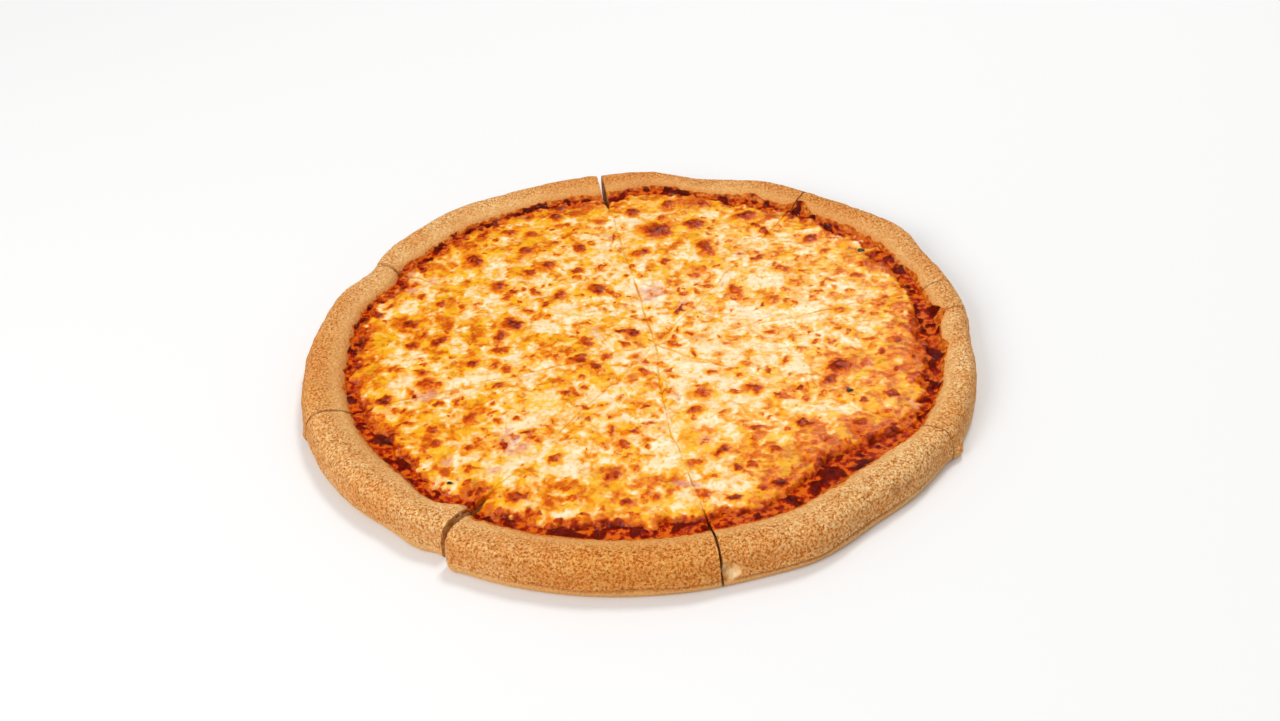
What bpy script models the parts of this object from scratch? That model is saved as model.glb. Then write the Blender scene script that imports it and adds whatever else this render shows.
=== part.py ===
"""A baked margherita pizza, cut by four straight cuts into eight slices that still lie together.

Every slice is three solids on each other: the dough with its raised rim, the tomato sauce and the
melted cheese. Metres, +Z up. The origin is on the surface that the pizza lies on, under its middle,
+X points to the right-hand slice and +Y to the far side.
"""

import math
import random

import bmesh
import bpy
from mathutils import Vector, noise

MM = 0.001

# Steps round the circle, the same in the dough, the sauce and the cheese's edge.
STEPS = 144
MERGE_DISTANCE = 1e-6
SHARP_ANGLE = math.radians(35.0)

# Outline of the dough, seen from above. A swell is (centre in degrees, spread in degrees, height).
OUTLINE_RADIUS = 160.0 * MM
OUTLINE_SWELLS = (
    (30.0, 8.0, 4.2 * MM),
    (74.5, 8.0, -5.0 * MM),
    (127.0, 12.0, 2.2 * MM),
    (151.0, 5.0, -4.2 * MM),
    (218.0, 12.0, -1.5 * MM),
    (226.0, 7.0, -3.0 * MM),
    (235.5, 3.5, -4.5 * MM),
    (238.5, 1.8, 2.5 * MM),
    (294.0, 6.0, 1.5 * MM),
    (307.0, 6.0, -1.3 * MM),
    (334.0, 8.0, 1.5 * MM),
    (353.0, 7.0, -2.0 * MM),
)

# Section of the rim. Insets run inwards from the outline, heights up from the surface below.
DOUGH_THICKNESS = 10.0 * MM
RIM_WIDTH = 22.0 * MM
RIM_WIDTH_SWELLS = (
    (350.0, 28.0, -5.5 * MM),
    (325.0, 6.0, -3.0 * MM),
    (16.0, 5.0, -2.5 * MM),
    (81.0, 9.0, -6.0 * MM),
    (96.0, 5.0, 2.5 * MM),
    (148.0, 5.0, -5.0 * MM),
    (165.0, 8.0, -2.0 * MM),
    (227.0, 6.0, -4.5 * MM),
)
RIM_HEIGHT = 17.0 * MM
RIM_HEIGHT_SWELLS = (
    (28.0, 12.0, 1.5 * MM),
    (128.0, 14.0, 1.2 * MM),
    (205.0, 16.0, 0.8 * MM),
    (75.0, 8.0, -1.6 * MM),
)
CREST_INSET = 8.5 * MM
WIDEST_HEIGHT = 5.0 * MM
UNDERSIDE_INSET = 3.0 * MM
OUTER_POWER = 2.3
INNER_POWER = 2.2
SHOULDER_STEPS = 5
SIDE_STEPS = 5
UNDER_STEPS = 2
# Soft lumps of the rim, on the outer part of its width.
RIM_RELIEF = 1.0 * MM
RIM_RELIEF_LENGTH = 21.0 * MM
RIM_RELIEF_REACH = 0.75 * RIM_WIDTH

# Sauce, from the middle to the foot of the rim. It stands higher in the ring that the cheese leaves bare.
LAYER_GAP = 0.3 * MM
SAUCE_BOTTOM = DOUGH_THICKNESS + LAYER_GAP
SAUCE_TOP = 11.5 * MM
RING_TOP = 13.2 * MM
RING_LUMP = 1.0 * MM
RING_LUMP_LENGTH = 7.0 * MM
SAUCE_LEAN = 0.9 * MM
SAUCE_EDGE_TOP = 12.9 * MM
FOOT_GAP = 0.5 * MM
RING_WIDTH = 3.2 * MM
RING_WIDTH_SWELLS = (
    (0.0, 14.0, 5.0 * MM),
    (308.0, 14.0, 8.0 * MM),
    (270.0, 14.0, 4.0 * MM),
    (215.0, 20.0, 3.0 * MM),
)
# Waves of the cheese's ragged edge: (waves round the circle, height, phase in degrees).
RAGGED_WAVES = ((11, 1.1 * MM, 20.0), (23, 0.7 * MM, 100.0), (37, 0.5 * MM, 250.0))
RING_STEP_GAP = 0.45 * MM
RING_STEP_WIDTH = 0.8 * MM

# Cheese: a wavy sheet with blisters, thinner towards its edge.
CHEESE_BOTTOM = SAUCE_TOP + LAYER_GAP
CHEESE_TOP = 14.5 * MM
CHEESE_EDGE_TOP = 13.4 * MM
CHEESE_EDGE_FALL = 5.0 * MM
CHEESE_WAVE = 0.8 * MM
CHEESE_WAVE_LENGTH = 19.0 * MM
CHEESE_PITCH = 5.3 * MM
# Every other row of the sheet is moved along by this share of the pitch, and the rest moved back by it.
ROW_STAGGER = 0.25
CHEESE_LEAST = 0.7 * MM

# Blisters that stand out, by hand: (x, y, width, height), in millimetres.
BLISTERS = (
    (-81, 78, 9, 1.6),
    (-55, 84, 9, 1.5),
    (-61, 19, 10, 1.7),
    (-95, 8, 12, 1.5),
    (-118, -36, 9, 1.2),
    (-39, 116, 7, 1.2),
    (16, 96, 17, 2.2),
    (39, 75, 10, 1.6),
    (66, 102, 17, 2.0),
    (103, 92, 10, 1.5),
    (79, 49, 17, 1.6),
    (66, 25, 12, 1.3),
    (92, -36, 18, 1.8),
    (-5, 7, 9, 1.3),
    (-75, -75, 10, 1.6),
    (-55, -109, 11, 1.7),
    (-14, -100, 10, 1.5),
    (32, -89, 11, 1.8),
    (72, -74, 13, 1.6),
    (24, -61, 10, 1.4),
)
SMALL_BLISTERS = 90
SMALL_BLISTER_WIDTH = (6.0 * MM, 10.0 * MM)
SMALL_BLISTER_HEIGHT = (0.7 * MM, 1.4 * MM)
SMALL_BLISTER_REACH = 130.0 * MM
# A blister's dome reaches this much beyond its browned width.
BLISTER_SPREAD = 1.25
SEED = 7

# The four cuts cross off the middle. A ray is (angle in degrees from the crossing, gap at the rim).
CROSSING = Vector((8.8 * MM, -6.0 * MM))
CROSSING_GAP = 0.7 * MM
RAYS = (
    (12.7, 0.8 * MM),
    (55.5, 0.9 * MM),
    (98.3, 3.0 * MM),
    (148.4, 2.2 * MM),
    (194.0, 1.6 * MM),
    (232.7, 4.2 * MM),
    (277.1, 1.2 * MM),
    (326.2, 0.8 * MM),
)
CUTTER_REACH = 190.0 * MM
CUTTER_LOW = -5.0 * MM
CUTTER_HIGH = 35.0 * MM
CUTTER_ARC_STEPS = 6

# Damage to the rim: a bite torn from one slice beside its cut, and a crack across the rim of another.
TORN_SLICE = 7
CRACKED_SLICE = 8
TORN_PLACE = (30.5 * MM, -157.5 * MM, 8.0 * MM)
TORN_SIZE = (6.0 * MM, 4.5 * MM, 5.0 * MM)
CRACK_PLACE = (155.0 * MM, 4.0 * MM, 15.5 * MM)
CRACK_SIZE = (13.0 * MM, 1.6 * MM, 9.0 * MM)
CRACK_TURN = math.radians(5.0)

CRUST_COLOUR = (0.64, 0.42, 0.21, 1.0)
CRUST_ROUGHNESS = 0.75
SAUCE_COLOUR = (0.40, 0.055, 0.015, 1.0)
SAUCE_ROUGHNESS = 0.35
CHEESE_COLOUR = (0.86, 0.60, 0.27, 1.0)
CHEESE_ROUGHNESS = 0.4


def clear_scene():
    for old in list(bpy.data.objects):
        bpy.data.objects.remove(old, do_unlink=True)


def new_collection(name):
    collection = bpy.data.collections.new(name)
    bpy.context.scene.collection.children.link(collection)
    return collection


def new_material(name, colour, roughness):
    material = bpy.data.materials.new(name)
    material.use_nodes = True
    shader = material.node_tree.nodes["Principled BSDF"]
    shader.inputs["Base Color"].default_value = colour
    shader.inputs["Roughness"].default_value = roughness
    shader.inputs["Metallic"].default_value = 0.0
    return material


def swell(angle, swells):
    """Sum of smooth bumps round the circle, at an angle in radians."""
    total = 0.0
    for centre, spread, height in swells:
        away = (math.degrees(angle) - centre + 180.0) % 360.0 - 180.0
        total += height * math.exp(-((away / spread) ** 2))
    return total


def outline_radius(angle):
    return OUTLINE_RADIUS + swell(angle, OUTLINE_SWELLS)


def rim_width(angle):
    return RIM_WIDTH + swell(angle, RIM_WIDTH_SWELLS)


def foot_radius(angle):
    """Where the rim's inner slope meets the flat dough."""
    return outline_radius(angle) - rim_width(angle)


def cheese_radius(angle):
    """The cheese's ragged edge: inside the foot by the width of the bare sauce ring, with three waves."""
    ragged = 0.0
    for count, height, phase in RAGGED_WAVES:
        ragged += height * math.sin(count * angle + math.radians(phase))
    return foot_radius(angle) - RING_WIDTH - swell(angle, RING_WIDTH_SWELLS) + ragged


def turned_mesh(name, profile, steps):
    """A closed profile from axis to axis, given as (radius, height), turned once round Z."""
    mesh = bpy.data.meshes.new(name)
    edges = [(i, i + 1) for i in range(len(profile) - 1)]
    mesh.from_pydata([(radius, 0.0, height) for radius, height in profile], edges, [])
    turned = bpy.data.objects.new(name, mesh)
    bpy.context.scene.collection.objects.link(turned)
    screw = turned.modifiers.new("turn", "SCREW")
    screw.axis = "Z"
    screw.steps = steps
    screw.render_steps = steps
    screw.use_merge_vertices = True
    screw.merge_threshold = MERGE_DISTANCE
    bpy.context.view_layer.update()
    graph = bpy.context.evaluated_depsgraph_get()
    result = bpy.data.meshes.new_from_object(turned.evaluated_get(graph))
    result.name = name
    bpy.data.objects.remove(turned, do_unlink=True)
    bpy.data.meshes.remove(mesh)
    return result


def quarter(share, power):
    """A point on a quarter superellipse, as (cosine-like, sine-like) parts of its half axes."""
    turn = share * math.pi / 2
    return math.cos(turn) ** (2.0 / power), math.sin(turn) ** (2.0 / power)


def rim_section():
    """The dough's section as (radius, height): flat top, inner shoulder, crest, outer side, flat base."""
    points = [(0.0, DOUGH_THICKNESS)]
    for step in range(SHOULDER_STEPS):
        across, up = quarter(step / SHOULDER_STEPS, INNER_POWER)
        inset = CREST_INSET + (RIM_WIDTH - CREST_INSET) * across
        points.append((OUTLINE_RADIUS - inset, DOUGH_THICKNESS + (RIM_HEIGHT - DOUGH_THICKNESS) * up))
    for step in range(SIDE_STEPS + 1):
        across, up = quarter(1.0 - step / SIDE_STEPS, OUTER_POWER)
        radius = OUTLINE_RADIUS - CREST_INSET * (1.0 - across)
        points.append((radius, WIDEST_HEIGHT + (RIM_HEIGHT - WIDEST_HEIGHT) * up))
    for step in range(1, UNDER_STEPS + 1):
        across, down = quarter(step / UNDER_STEPS, OUTER_POWER)
        radius = OUTLINE_RADIUS - UNDERSIDE_INSET * (1.0 - across)
        points.append((radius, WIDEST_HEIGHT * (1.0 - down)))
    points.append((0.0, 0.0))
    return points


def make_dough():
    """The turned dough, warped to its uneven outline, rim width and rim height, with soft lumps."""
    mesh = turned_mesh("dough", rim_section(), STEPS)
    foot = OUTLINE_RADIUS - RIM_WIDTH
    for vertex in mesh.vertices:
        x, y, z = vertex.co
        radius = math.hypot(x, y)
        if radius < MERGE_DISTANCE:
            continue
        angle = math.atan2(y, x)
        inset = OUTLINE_RADIUS - radius
        if radius <= foot:
            radius *= foot_radius(angle) / foot
        else:
            radius = outline_radius(angle) - inset * rim_width(angle) / RIM_WIDTH
            lumps = noise.noise(Vector((x, y, z)) / RIM_RELIEF_LENGTH)
            above = min(1.0, max(0.0, z / WIDEST_HEIGHT))
            outside = min(1.0, max(0.0, (RIM_RELIEF_REACH - inset) / CREST_INSET))
            radius += RIM_RELIEF * lumps * above * outside
            if z > DOUGH_THICKNESS:
                share = (z - DOUGH_THICKNESS) / (RIM_HEIGHT - DOUGH_THICKNESS)
                z += share * outside * (swell(angle, RIM_HEIGHT_SWELLS) + RIM_RELIEF * lumps)
        vertex.co = (radius * math.cos(angle), radius * math.sin(angle), z)
    return mesh


def make_sauce():
    """The turned sauce: thin under the cheese, raised and lumpy in the bare ring, leaning on the rim.

    It is turned with whole numbers as radii, which number its rings, and then each ring gets its radius.
    """
    profile = [
        (0.0, SAUCE_TOP),
        (1.0, SAUCE_TOP),
        (2.0, RING_TOP),
        (3.0, RING_TOP),
        (4.0, SAUCE_EDGE_TOP),
        (5.0, SAUCE_BOTTOM),
        (0.0, SAUCE_BOTTOM),
    ]
    mesh = turned_mesh("sauce", profile, STEPS)
    for vertex in mesh.vertices:
        x, y, z = vertex.co
        ring = round(math.hypot(x, y))
        if ring == 0:
            continue
        angle = math.atan2(y, x)
        inner = cheese_radius(angle) + RING_STEP_GAP
        raised = inner + RING_STEP_WIDTH
        outer = foot_radius(angle) - FOOT_GAP
        lean = SAUCE_LEAN * rim_width(angle) / RIM_WIDTH
        radius = (0.0, inner, raised, (raised + outer) / 2, outer + lean, outer)[ring]
        here = Vector((radius * math.cos(angle), radius * math.sin(angle), z))
        if ring in (2, 3):
            here.z += RING_LUMP * noise.noise(here / RING_LUMP_LENGTH)
        vertex.co = here
    return mesh


def all_blisters():
    """The blisters placed by hand, then smaller ones spread by a seeded draw, as (x, y, radius, height)."""
    blisters = []
    for x, y, width, height in BLISTERS:
        blisters.append((x * MM, y * MM, width * MM / 2, height * MM))
    draw = random.Random(SEED)
    for _ in range(SMALL_BLISTERS):
        radius = SMALL_BLISTER_REACH * math.sqrt(draw.random())
        angle = draw.uniform(0.0, 2 * math.pi)
        width = draw.uniform(*SMALL_BLISTER_WIDTH)
        height = draw.uniform(*SMALL_BLISTER_HEIGHT)
        blisters.append((radius * math.cos(angle), radius * math.sin(angle), width / 2, height))
    return blisters


def cheese_height(x, y, blisters):
    """Top of the cheese: a level that falls at the edge, a slow wave, and a dome on each blister."""
    radius = math.hypot(x, y)
    inside = cheese_radius(math.atan2(y, x)) - radius
    share = min(1.0, max(0.0, inside / CHEESE_EDGE_FALL))
    level = CHEESE_EDGE_TOP + (CHEESE_TOP - CHEESE_EDGE_TOP) * share * (2.0 - share)
    wave = CHEESE_WAVE * noise.noise(Vector((x, y, 0.0)) / CHEESE_WAVE_LENGTH)
    dome = 0.0
    for blister_x, blister_y, size, height in blisters:
        away = math.hypot(x - blister_x, y - blister_y) / (size * BLISTER_SPREAD)
        if away < 1.0:
            dome = max(dome, height * (1.0 - away * away) ** 2)
    return max(CHEESE_BOTTOM + CHEESE_LEAST, level + wave + dome)


def make_cheese():
    """A sheet of near-equilateral triangles with the cheese's relief on top and a flat underside."""
    half = OUTLINE_RADIUS
    count = round(2 * half / CHEESE_PITCH)
    rows = round(2 * half / (CHEESE_PITCH * math.sqrt(3) / 2))
    sheet = bmesh.new()
    bmesh.ops.create_grid(sheet, x_segments=count, y_segments=rows, size=half)
    row_height = 2 * half / rows
    blisters = all_blisters()
    for vertex in sheet.verts:
        row = round((vertex.co.y + half) / row_height)
        vertex.co.x += CHEESE_PITCH * (ROW_STAGGER if row % 2 else -ROW_STAGGER)
        vertex.co.z = cheese_height(vertex.co.x, vertex.co.y, blisters)
    bmesh.ops.triangulate(sheet, faces=sheet.faces[:], quad_method="SHORT_EDGE")
    rim = [edge for edge in sheet.edges if edge.is_boundary]
    walls = bmesh.ops.extrude_edge_only(sheet, edges=rim)["geom"]
    for vertex in (part for part in walls if isinstance(part, bmesh.types.BMVert)):
        vertex.co.z = CHEESE_BOTTOM
    low = [part for part in walls if isinstance(part, bmesh.types.BMEdge) and part.is_boundary]
    bmesh.ops.contextual_create(sheet, geom=low)
    bmesh.ops.recalc_face_normals(sheet, faces=sheet.faces[:])
    mesh = bpy.data.meshes.new("cheese")
    sheet.to_mesh(mesh)
    sheet.free()
    return mesh


def prism(name, corners, collection):
    """A cutter: a flat polygon in plan, given anticlockwise, carried up through the whole pizza."""
    shape = bmesh.new()
    face = shape.faces.new([shape.verts.new((x, y, CUTTER_LOW)) for x, y in corners])
    raised = bmesh.ops.extrude_face_region(shape, geom=[face])["geom"]
    for vertex in (part for part in raised if isinstance(part, bmesh.types.BMVert)):
        vertex.co.z = CUTTER_HIGH
    bmesh.ops.recalc_face_normals(shape, faces=shape.faces[:])
    mesh = bpy.data.meshes.new(name)
    shape.to_mesh(mesh)
    shape.free()
    return add_cutter(bpy.data.objects.new(name, mesh), collection)


def add_cutter(cutter, collection):
    for old in cutter.users_collection:
        old.objects.unlink(cutter)
    collection.objects.link(cutter)
    cutter.hide_render = True
    cutter.display_type = "WIRE"
    return cutter


def cheese_outline(collection):
    """The cheese's ragged edge as a cutter."""
    corners = []
    for step in range(STEPS):
        angle = 2 * math.pi * step / STEPS
        radius = cheese_radius(angle)
        corners.append((radius * math.cos(angle), radius * math.sin(angle)))
    return prism("cheese_outline", corners, collection)


def cut_line(ray, side):
    """A cut face in plan, as its near and far points. Side is +1 on the anticlockwise side of the cut."""
    angle = math.radians(ray[0])
    along = Vector((math.cos(angle), math.sin(angle)))
    across = Vector((-math.sin(angle), math.cos(angle))) * side
    near = CROSSING + across * CROSSING_GAP / 2
    rim = CROSSING + along * OUTLINE_RADIUS + across * ray[1] / 2
    return near, near + (rim - near) * (CUTTER_REACH / OUTLINE_RADIUS)


def crossing_point(first, second):
    """Where two lines in plan, each given by two points, meet."""
    start, end = first
    other, other_end = second
    run = end - start
    other_run = other_end - other
    share = (other - start).cross(other_run) / run.cross(other_run)
    return start + run * share


def slice_cutters(collection):
    """One wedge for each slice, between the near faces of two neighbouring cuts."""
    cutters = []
    for number, ray in enumerate(RAYS, start=1):
        following = RAYS[number % len(RAYS)]
        low = cut_line(ray, 1.0)
        high = cut_line(following, -1.0)
        span = (following[0] - ray[0]) % 360.0
        corners = [crossing_point(low, high), low[1]]
        for step in range(1, CUTTER_ARC_STEPS):
            angle = math.radians(ray[0] + span * step / CUTTER_ARC_STEPS)
            corners.append(CROSSING + Vector((math.cos(angle), math.sin(angle))) * CUTTER_REACH)
        corners.append(high[1])
        cutters.append(prism(f"wedge_{number}", corners, collection))
    return cutters


def torn_cutter(collection):
    bpy.ops.mesh.primitive_ico_sphere_add(subdivisions=2, radius=1.0, location=TORN_PLACE)
    cutter = bpy.context.object
    cutter.name = "torn_bite"
    cutter.scale = TORN_SIZE
    bpy.ops.object.transform_apply(location=False, rotation=False, scale=True)
    return add_cutter(cutter, collection)


def crack_cutter(collection):
    bpy.ops.mesh.primitive_cube_add(size=1.0, location=CRACK_PLACE, rotation=(0.0, 0.0, CRACK_TURN))
    cutter = bpy.context.object
    cutter.name = "rim_crack"
    cutter.scale = CRACK_SIZE
    bpy.ops.object.transform_apply(location=False, rotation=False, scale=True)
    return add_cutter(cutter, collection)


def cut(solid, cutter, operation):
    boolean = solid.modifiers.new(cutter.name, "BOOLEAN")
    boolean.operation = operation
    boolean.solver = "EXACT"
    boolean.object = cutter


def add_slices(layer, mesh, material, wedges, collection, outline=None):
    """Eight slices of one layer, which share its mesh and are each cut out by their own wedge."""
    mesh.materials.append(material)
    mesh.shade_smooth()
    mesh.set_sharp_from_angle(angle=SHARP_ANGLE)
    slices = []
    for number, wedge in enumerate(wedges, start=1):
        piece = bpy.data.objects.new(f"slice_{number}_{layer}", mesh)
        collection.objects.link(piece)
        if outline:
            cut(piece, outline, "INTERSECT")
        cut(piece, wedge, "INTERSECT")
        slices.append(piece)
    return slices


def main():
    clear_scene()
    pizza = new_collection("margherita_pizza")
    cutters = new_collection("cutters")
    wedges = slice_cutters(cutters)
    crust = new_material("baked_crust", CRUST_COLOUR, CRUST_ROUGHNESS)
    sauce = new_material("tomato_sauce", SAUCE_COLOUR, SAUCE_ROUGHNESS)
    cheese = new_material("melted_cheese", CHEESE_COLOUR, CHEESE_ROUGHNESS)
    crusts = add_slices("crust", make_dough(), crust, wedges, pizza)
    cut(crusts[TORN_SLICE - 1], torn_cutter(cutters), "DIFFERENCE")
    cut(crusts[CRACKED_SLICE - 1], crack_cutter(cutters), "DIFFERENCE")
    add_slices("sauce", make_sauce(), sauce, wedges, pizza)
    add_slices("cheese", make_cheese(), cheese, wedges, pizza, cheese_outline(cutters))


main()
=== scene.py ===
"""The looks of a baked margherita pizza, cut into eight slices that still lie together.

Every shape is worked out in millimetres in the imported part's frame, as whole arrays, and goes to its mesh in
metres. A place on the pizza is an angle round its middle and an inset from the outline of its dough.
"""

import math

import bpy
import numpy as np
from mathutils import Matrix


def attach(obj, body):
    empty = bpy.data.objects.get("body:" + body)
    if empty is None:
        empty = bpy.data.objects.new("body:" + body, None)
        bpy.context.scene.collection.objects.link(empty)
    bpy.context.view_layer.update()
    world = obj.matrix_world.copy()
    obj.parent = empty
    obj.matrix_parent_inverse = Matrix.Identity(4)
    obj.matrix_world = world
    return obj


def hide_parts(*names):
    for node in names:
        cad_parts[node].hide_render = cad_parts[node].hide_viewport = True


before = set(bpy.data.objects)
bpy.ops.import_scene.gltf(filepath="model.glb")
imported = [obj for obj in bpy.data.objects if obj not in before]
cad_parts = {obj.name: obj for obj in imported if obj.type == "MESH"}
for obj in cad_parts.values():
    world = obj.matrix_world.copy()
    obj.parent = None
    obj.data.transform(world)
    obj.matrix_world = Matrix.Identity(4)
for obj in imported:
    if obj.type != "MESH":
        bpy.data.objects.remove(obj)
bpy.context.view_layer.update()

MM = 0.001

# The camera, in millimetres and degrees.
CAMERA_PLACE = (0.9, -603.1, 445.8)
CAMERA_DOWN = 36.42
CAMERA_ROLL = -4.09
CAMERA_LENS = 43.69

# The light is a little warm, and the floor a little cool, so that the floor looks white.
LIGHT_TONE = (1.0, 0.965, 0.91)
SURROUNDINGS_STRENGTH = 0.57
FLOOR_TONE = (0.84, 0.87, 0.92)
FLOOR_HALF = 3.0

# Outline of the dough, seen from above. A swell is (centre in degrees, spread in degrees, height).
OUTLINE_RADIUS = 160.0
OUTLINE_SWELLS = (
    (30.0, 8.0, 4.2), (74.5, 8.0, -5.0), (127.0, 12.0, 2.2), (151.0, 5.0, -4.2), (218.0, 12.0, -1.5),
    (226.0, 7.0, -3.0), (235.5, 3.5, -4.5), (238.5, 1.8, 2.5), (294.0, 6.0, 1.5), (307.0, 6.0, -1.3),
    (334.0, 8.0, 1.5), (353.0, 7.0, -2.0),
)

# Section of the rim. Insets run inwards from the outline.
DOUGH_THICKNESS = 10.0
RIM_WIDTH = 22.0
RIM_WIDTH_SWELLS = (
    (350.0, 28.0, -5.5), (325.0, 6.0, -3.0), (16.0, 5.0, -2.5), (81.0, 9.0, -6.0), (96.0, 5.0, 2.5),
    (148.0, 5.0, -5.0), (165.0, 8.0, -2.0), (227.0, 6.0, -4.5),
)
RIM_HEIGHT = 17.0
RIM_HEIGHT_SWELLS = ((28.0, 12.0, 1.5), (128.0, 14.0, 1.2), (205.0, 16.0, 0.8), (75.0, 8.0, -1.6))
CREST_INSET = 8.5
WIDEST_HEIGHT = 5.0
UNDERSIDE_INSET = 3.0
OUTER_POWER = 2.3
INNER_POWER = 2.2
GRIT_HEIGHT = 0.28
# Where the crust is a deeper orange and darker, by angle: partly its baked colour, partly painted shade on the
# near side and at the back.
RIM_BAKES_AND_SHADE = ((182.0, 24.0, 0.8), (268.0, 24.0, 1.0), (45.0, 22.0, 0.9), (92.0, 20.0, 0.9))
# A crease low on the rim's outer side.
CREASE_HEIGHT = 4.6
CREASE_HALF = 0.7
CREASE_DEPTH = 0.7
CREASE_SWELLS = ((300.0, 22.0, 1.0), (262.0, 20.0, 0.6), (215.0, 14.0, 0.4))

# Sauce: a layer inside the rim, bare in a ring round the cheese, and a film that laps up the rim's side.
SAUCE_BOTTOM = 9.9
SAUCE_TOP = 11.6
SAUCE_SHRINK = 0.12
RING_REACH = 9.0
RING_TOP = 12.55
RING_LUMP = 1.1
RING_LUMP_LENGTH = 4.3
RING_WIDTH = 2.7
RING_WIDTH_SWELLS = (
    (165.0, 30.0, -1.4), (0.0, 14.0, 5.0), (308.0, 14.0, 8.0), (270.0, 14.0, 4.0), (215.0, 20.0, 3.0),
)
FILM = 0.35
FILM_SINK = 1.0
FILM_UNDER = 1.1
LAP_INSET = 19.2
LAP_END = 7.5
LAP_SWELLS = (
    (175.0, 50.0, -1.3), (50.0, 2.2, 5.0), (305.0, 2.0, 3.0), (350.0, 3.0, 3.0), (0.8, 2.0, 5.0),
    (62.0, 2.0, 2.0),
)
# How burnt the ring is, by angle.
RING_BURNS = (
    (128.0, 26.0, 0.85), (88.0, 20.0, 0.45), (52.0, 8.0, 0.6), (168.0, 12.0, 0.25), (0.0, 22.0, 0.35),
    (322.0, 22.0, 0.6), (207.0, 8.0, 0.4), (262.0, 10.0, 0.2),
)

# Cheese.
CHEESE_BOTTOM = 10.9
CHEESE_SUNK = 11.1
CHEESE_TOP = 14.5
CHEESE_EDGE_TOP = 13.5
CHEESE_EDGE_FALL = 5.0

# The four cuts cross off the middle. A ray is (angle in degrees from the crossing, gap at the rim).
CROSSING = np.array((8.8, -6.0))
CROSSING_GAP = 0.7
RAYS = (
    (12.7, 0.8), (55.5, 0.9), (98.3, 3.0), (148.4, 2.2), (194.0, 1.6), (232.7, 4.2), (277.1, 1.2),
    (326.2, 0.8),
)
# Each cut's sideways bow between the crossing and the rim.
CUT_BOWS = (0.0, 0.0, 0.0, 0.0, 0.0, 0.0, -4.4, 0.0)
CUT_WAVE = 1.3
CUT_WAVE_LENGTH = 10.0
# How plainly each cut shows in the cheese, and the gap that the melted cheese leaves there.
CUT_SHOWS = (0.5, 0.4, 0.6, 0.25, 0.4, 0.3, 0.6, 0.6)
CHEESE_GAP = 0.07

# Damage of the rim: a bite torn out beside a cut, and a short crack across another slice.
TORN_SLICE = 7
TORN_PLACE = np.array((30.5, -157.5, 8.0))
TORN_SIZE = np.array((6.0, 4.5, 5.0))
CRACK_SLICE = 8
CRACK_START = np.array((146.0, 3.2))
CRACK_END = np.array((159.5, 4.4))
CRACK_WIDTH = 0.7
CRACK_DEPTH = 2.4
# Dents, (x, y, length, width, turn in degrees, strength).
SCAR_DEPTH = 1.1
SCARS = (
    (110.0, -116.0, 9.0, 3.0, 50.0, 1.0), (104.0, -119.0, 6.0, 4.0, 20.0, 0.6),
    (122.0, 98.0, 5.0, 2.0, 60.0, 0.5),
)
# Corners pulled out at the base, (x, y, pull, spread).
CORNERS = ((137.0, -86.5, 3.0, 4.0), (-85.0, -142.0, 1.6, 3.5), (-154.0, -43.5, 1.2, 3.0))
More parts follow.
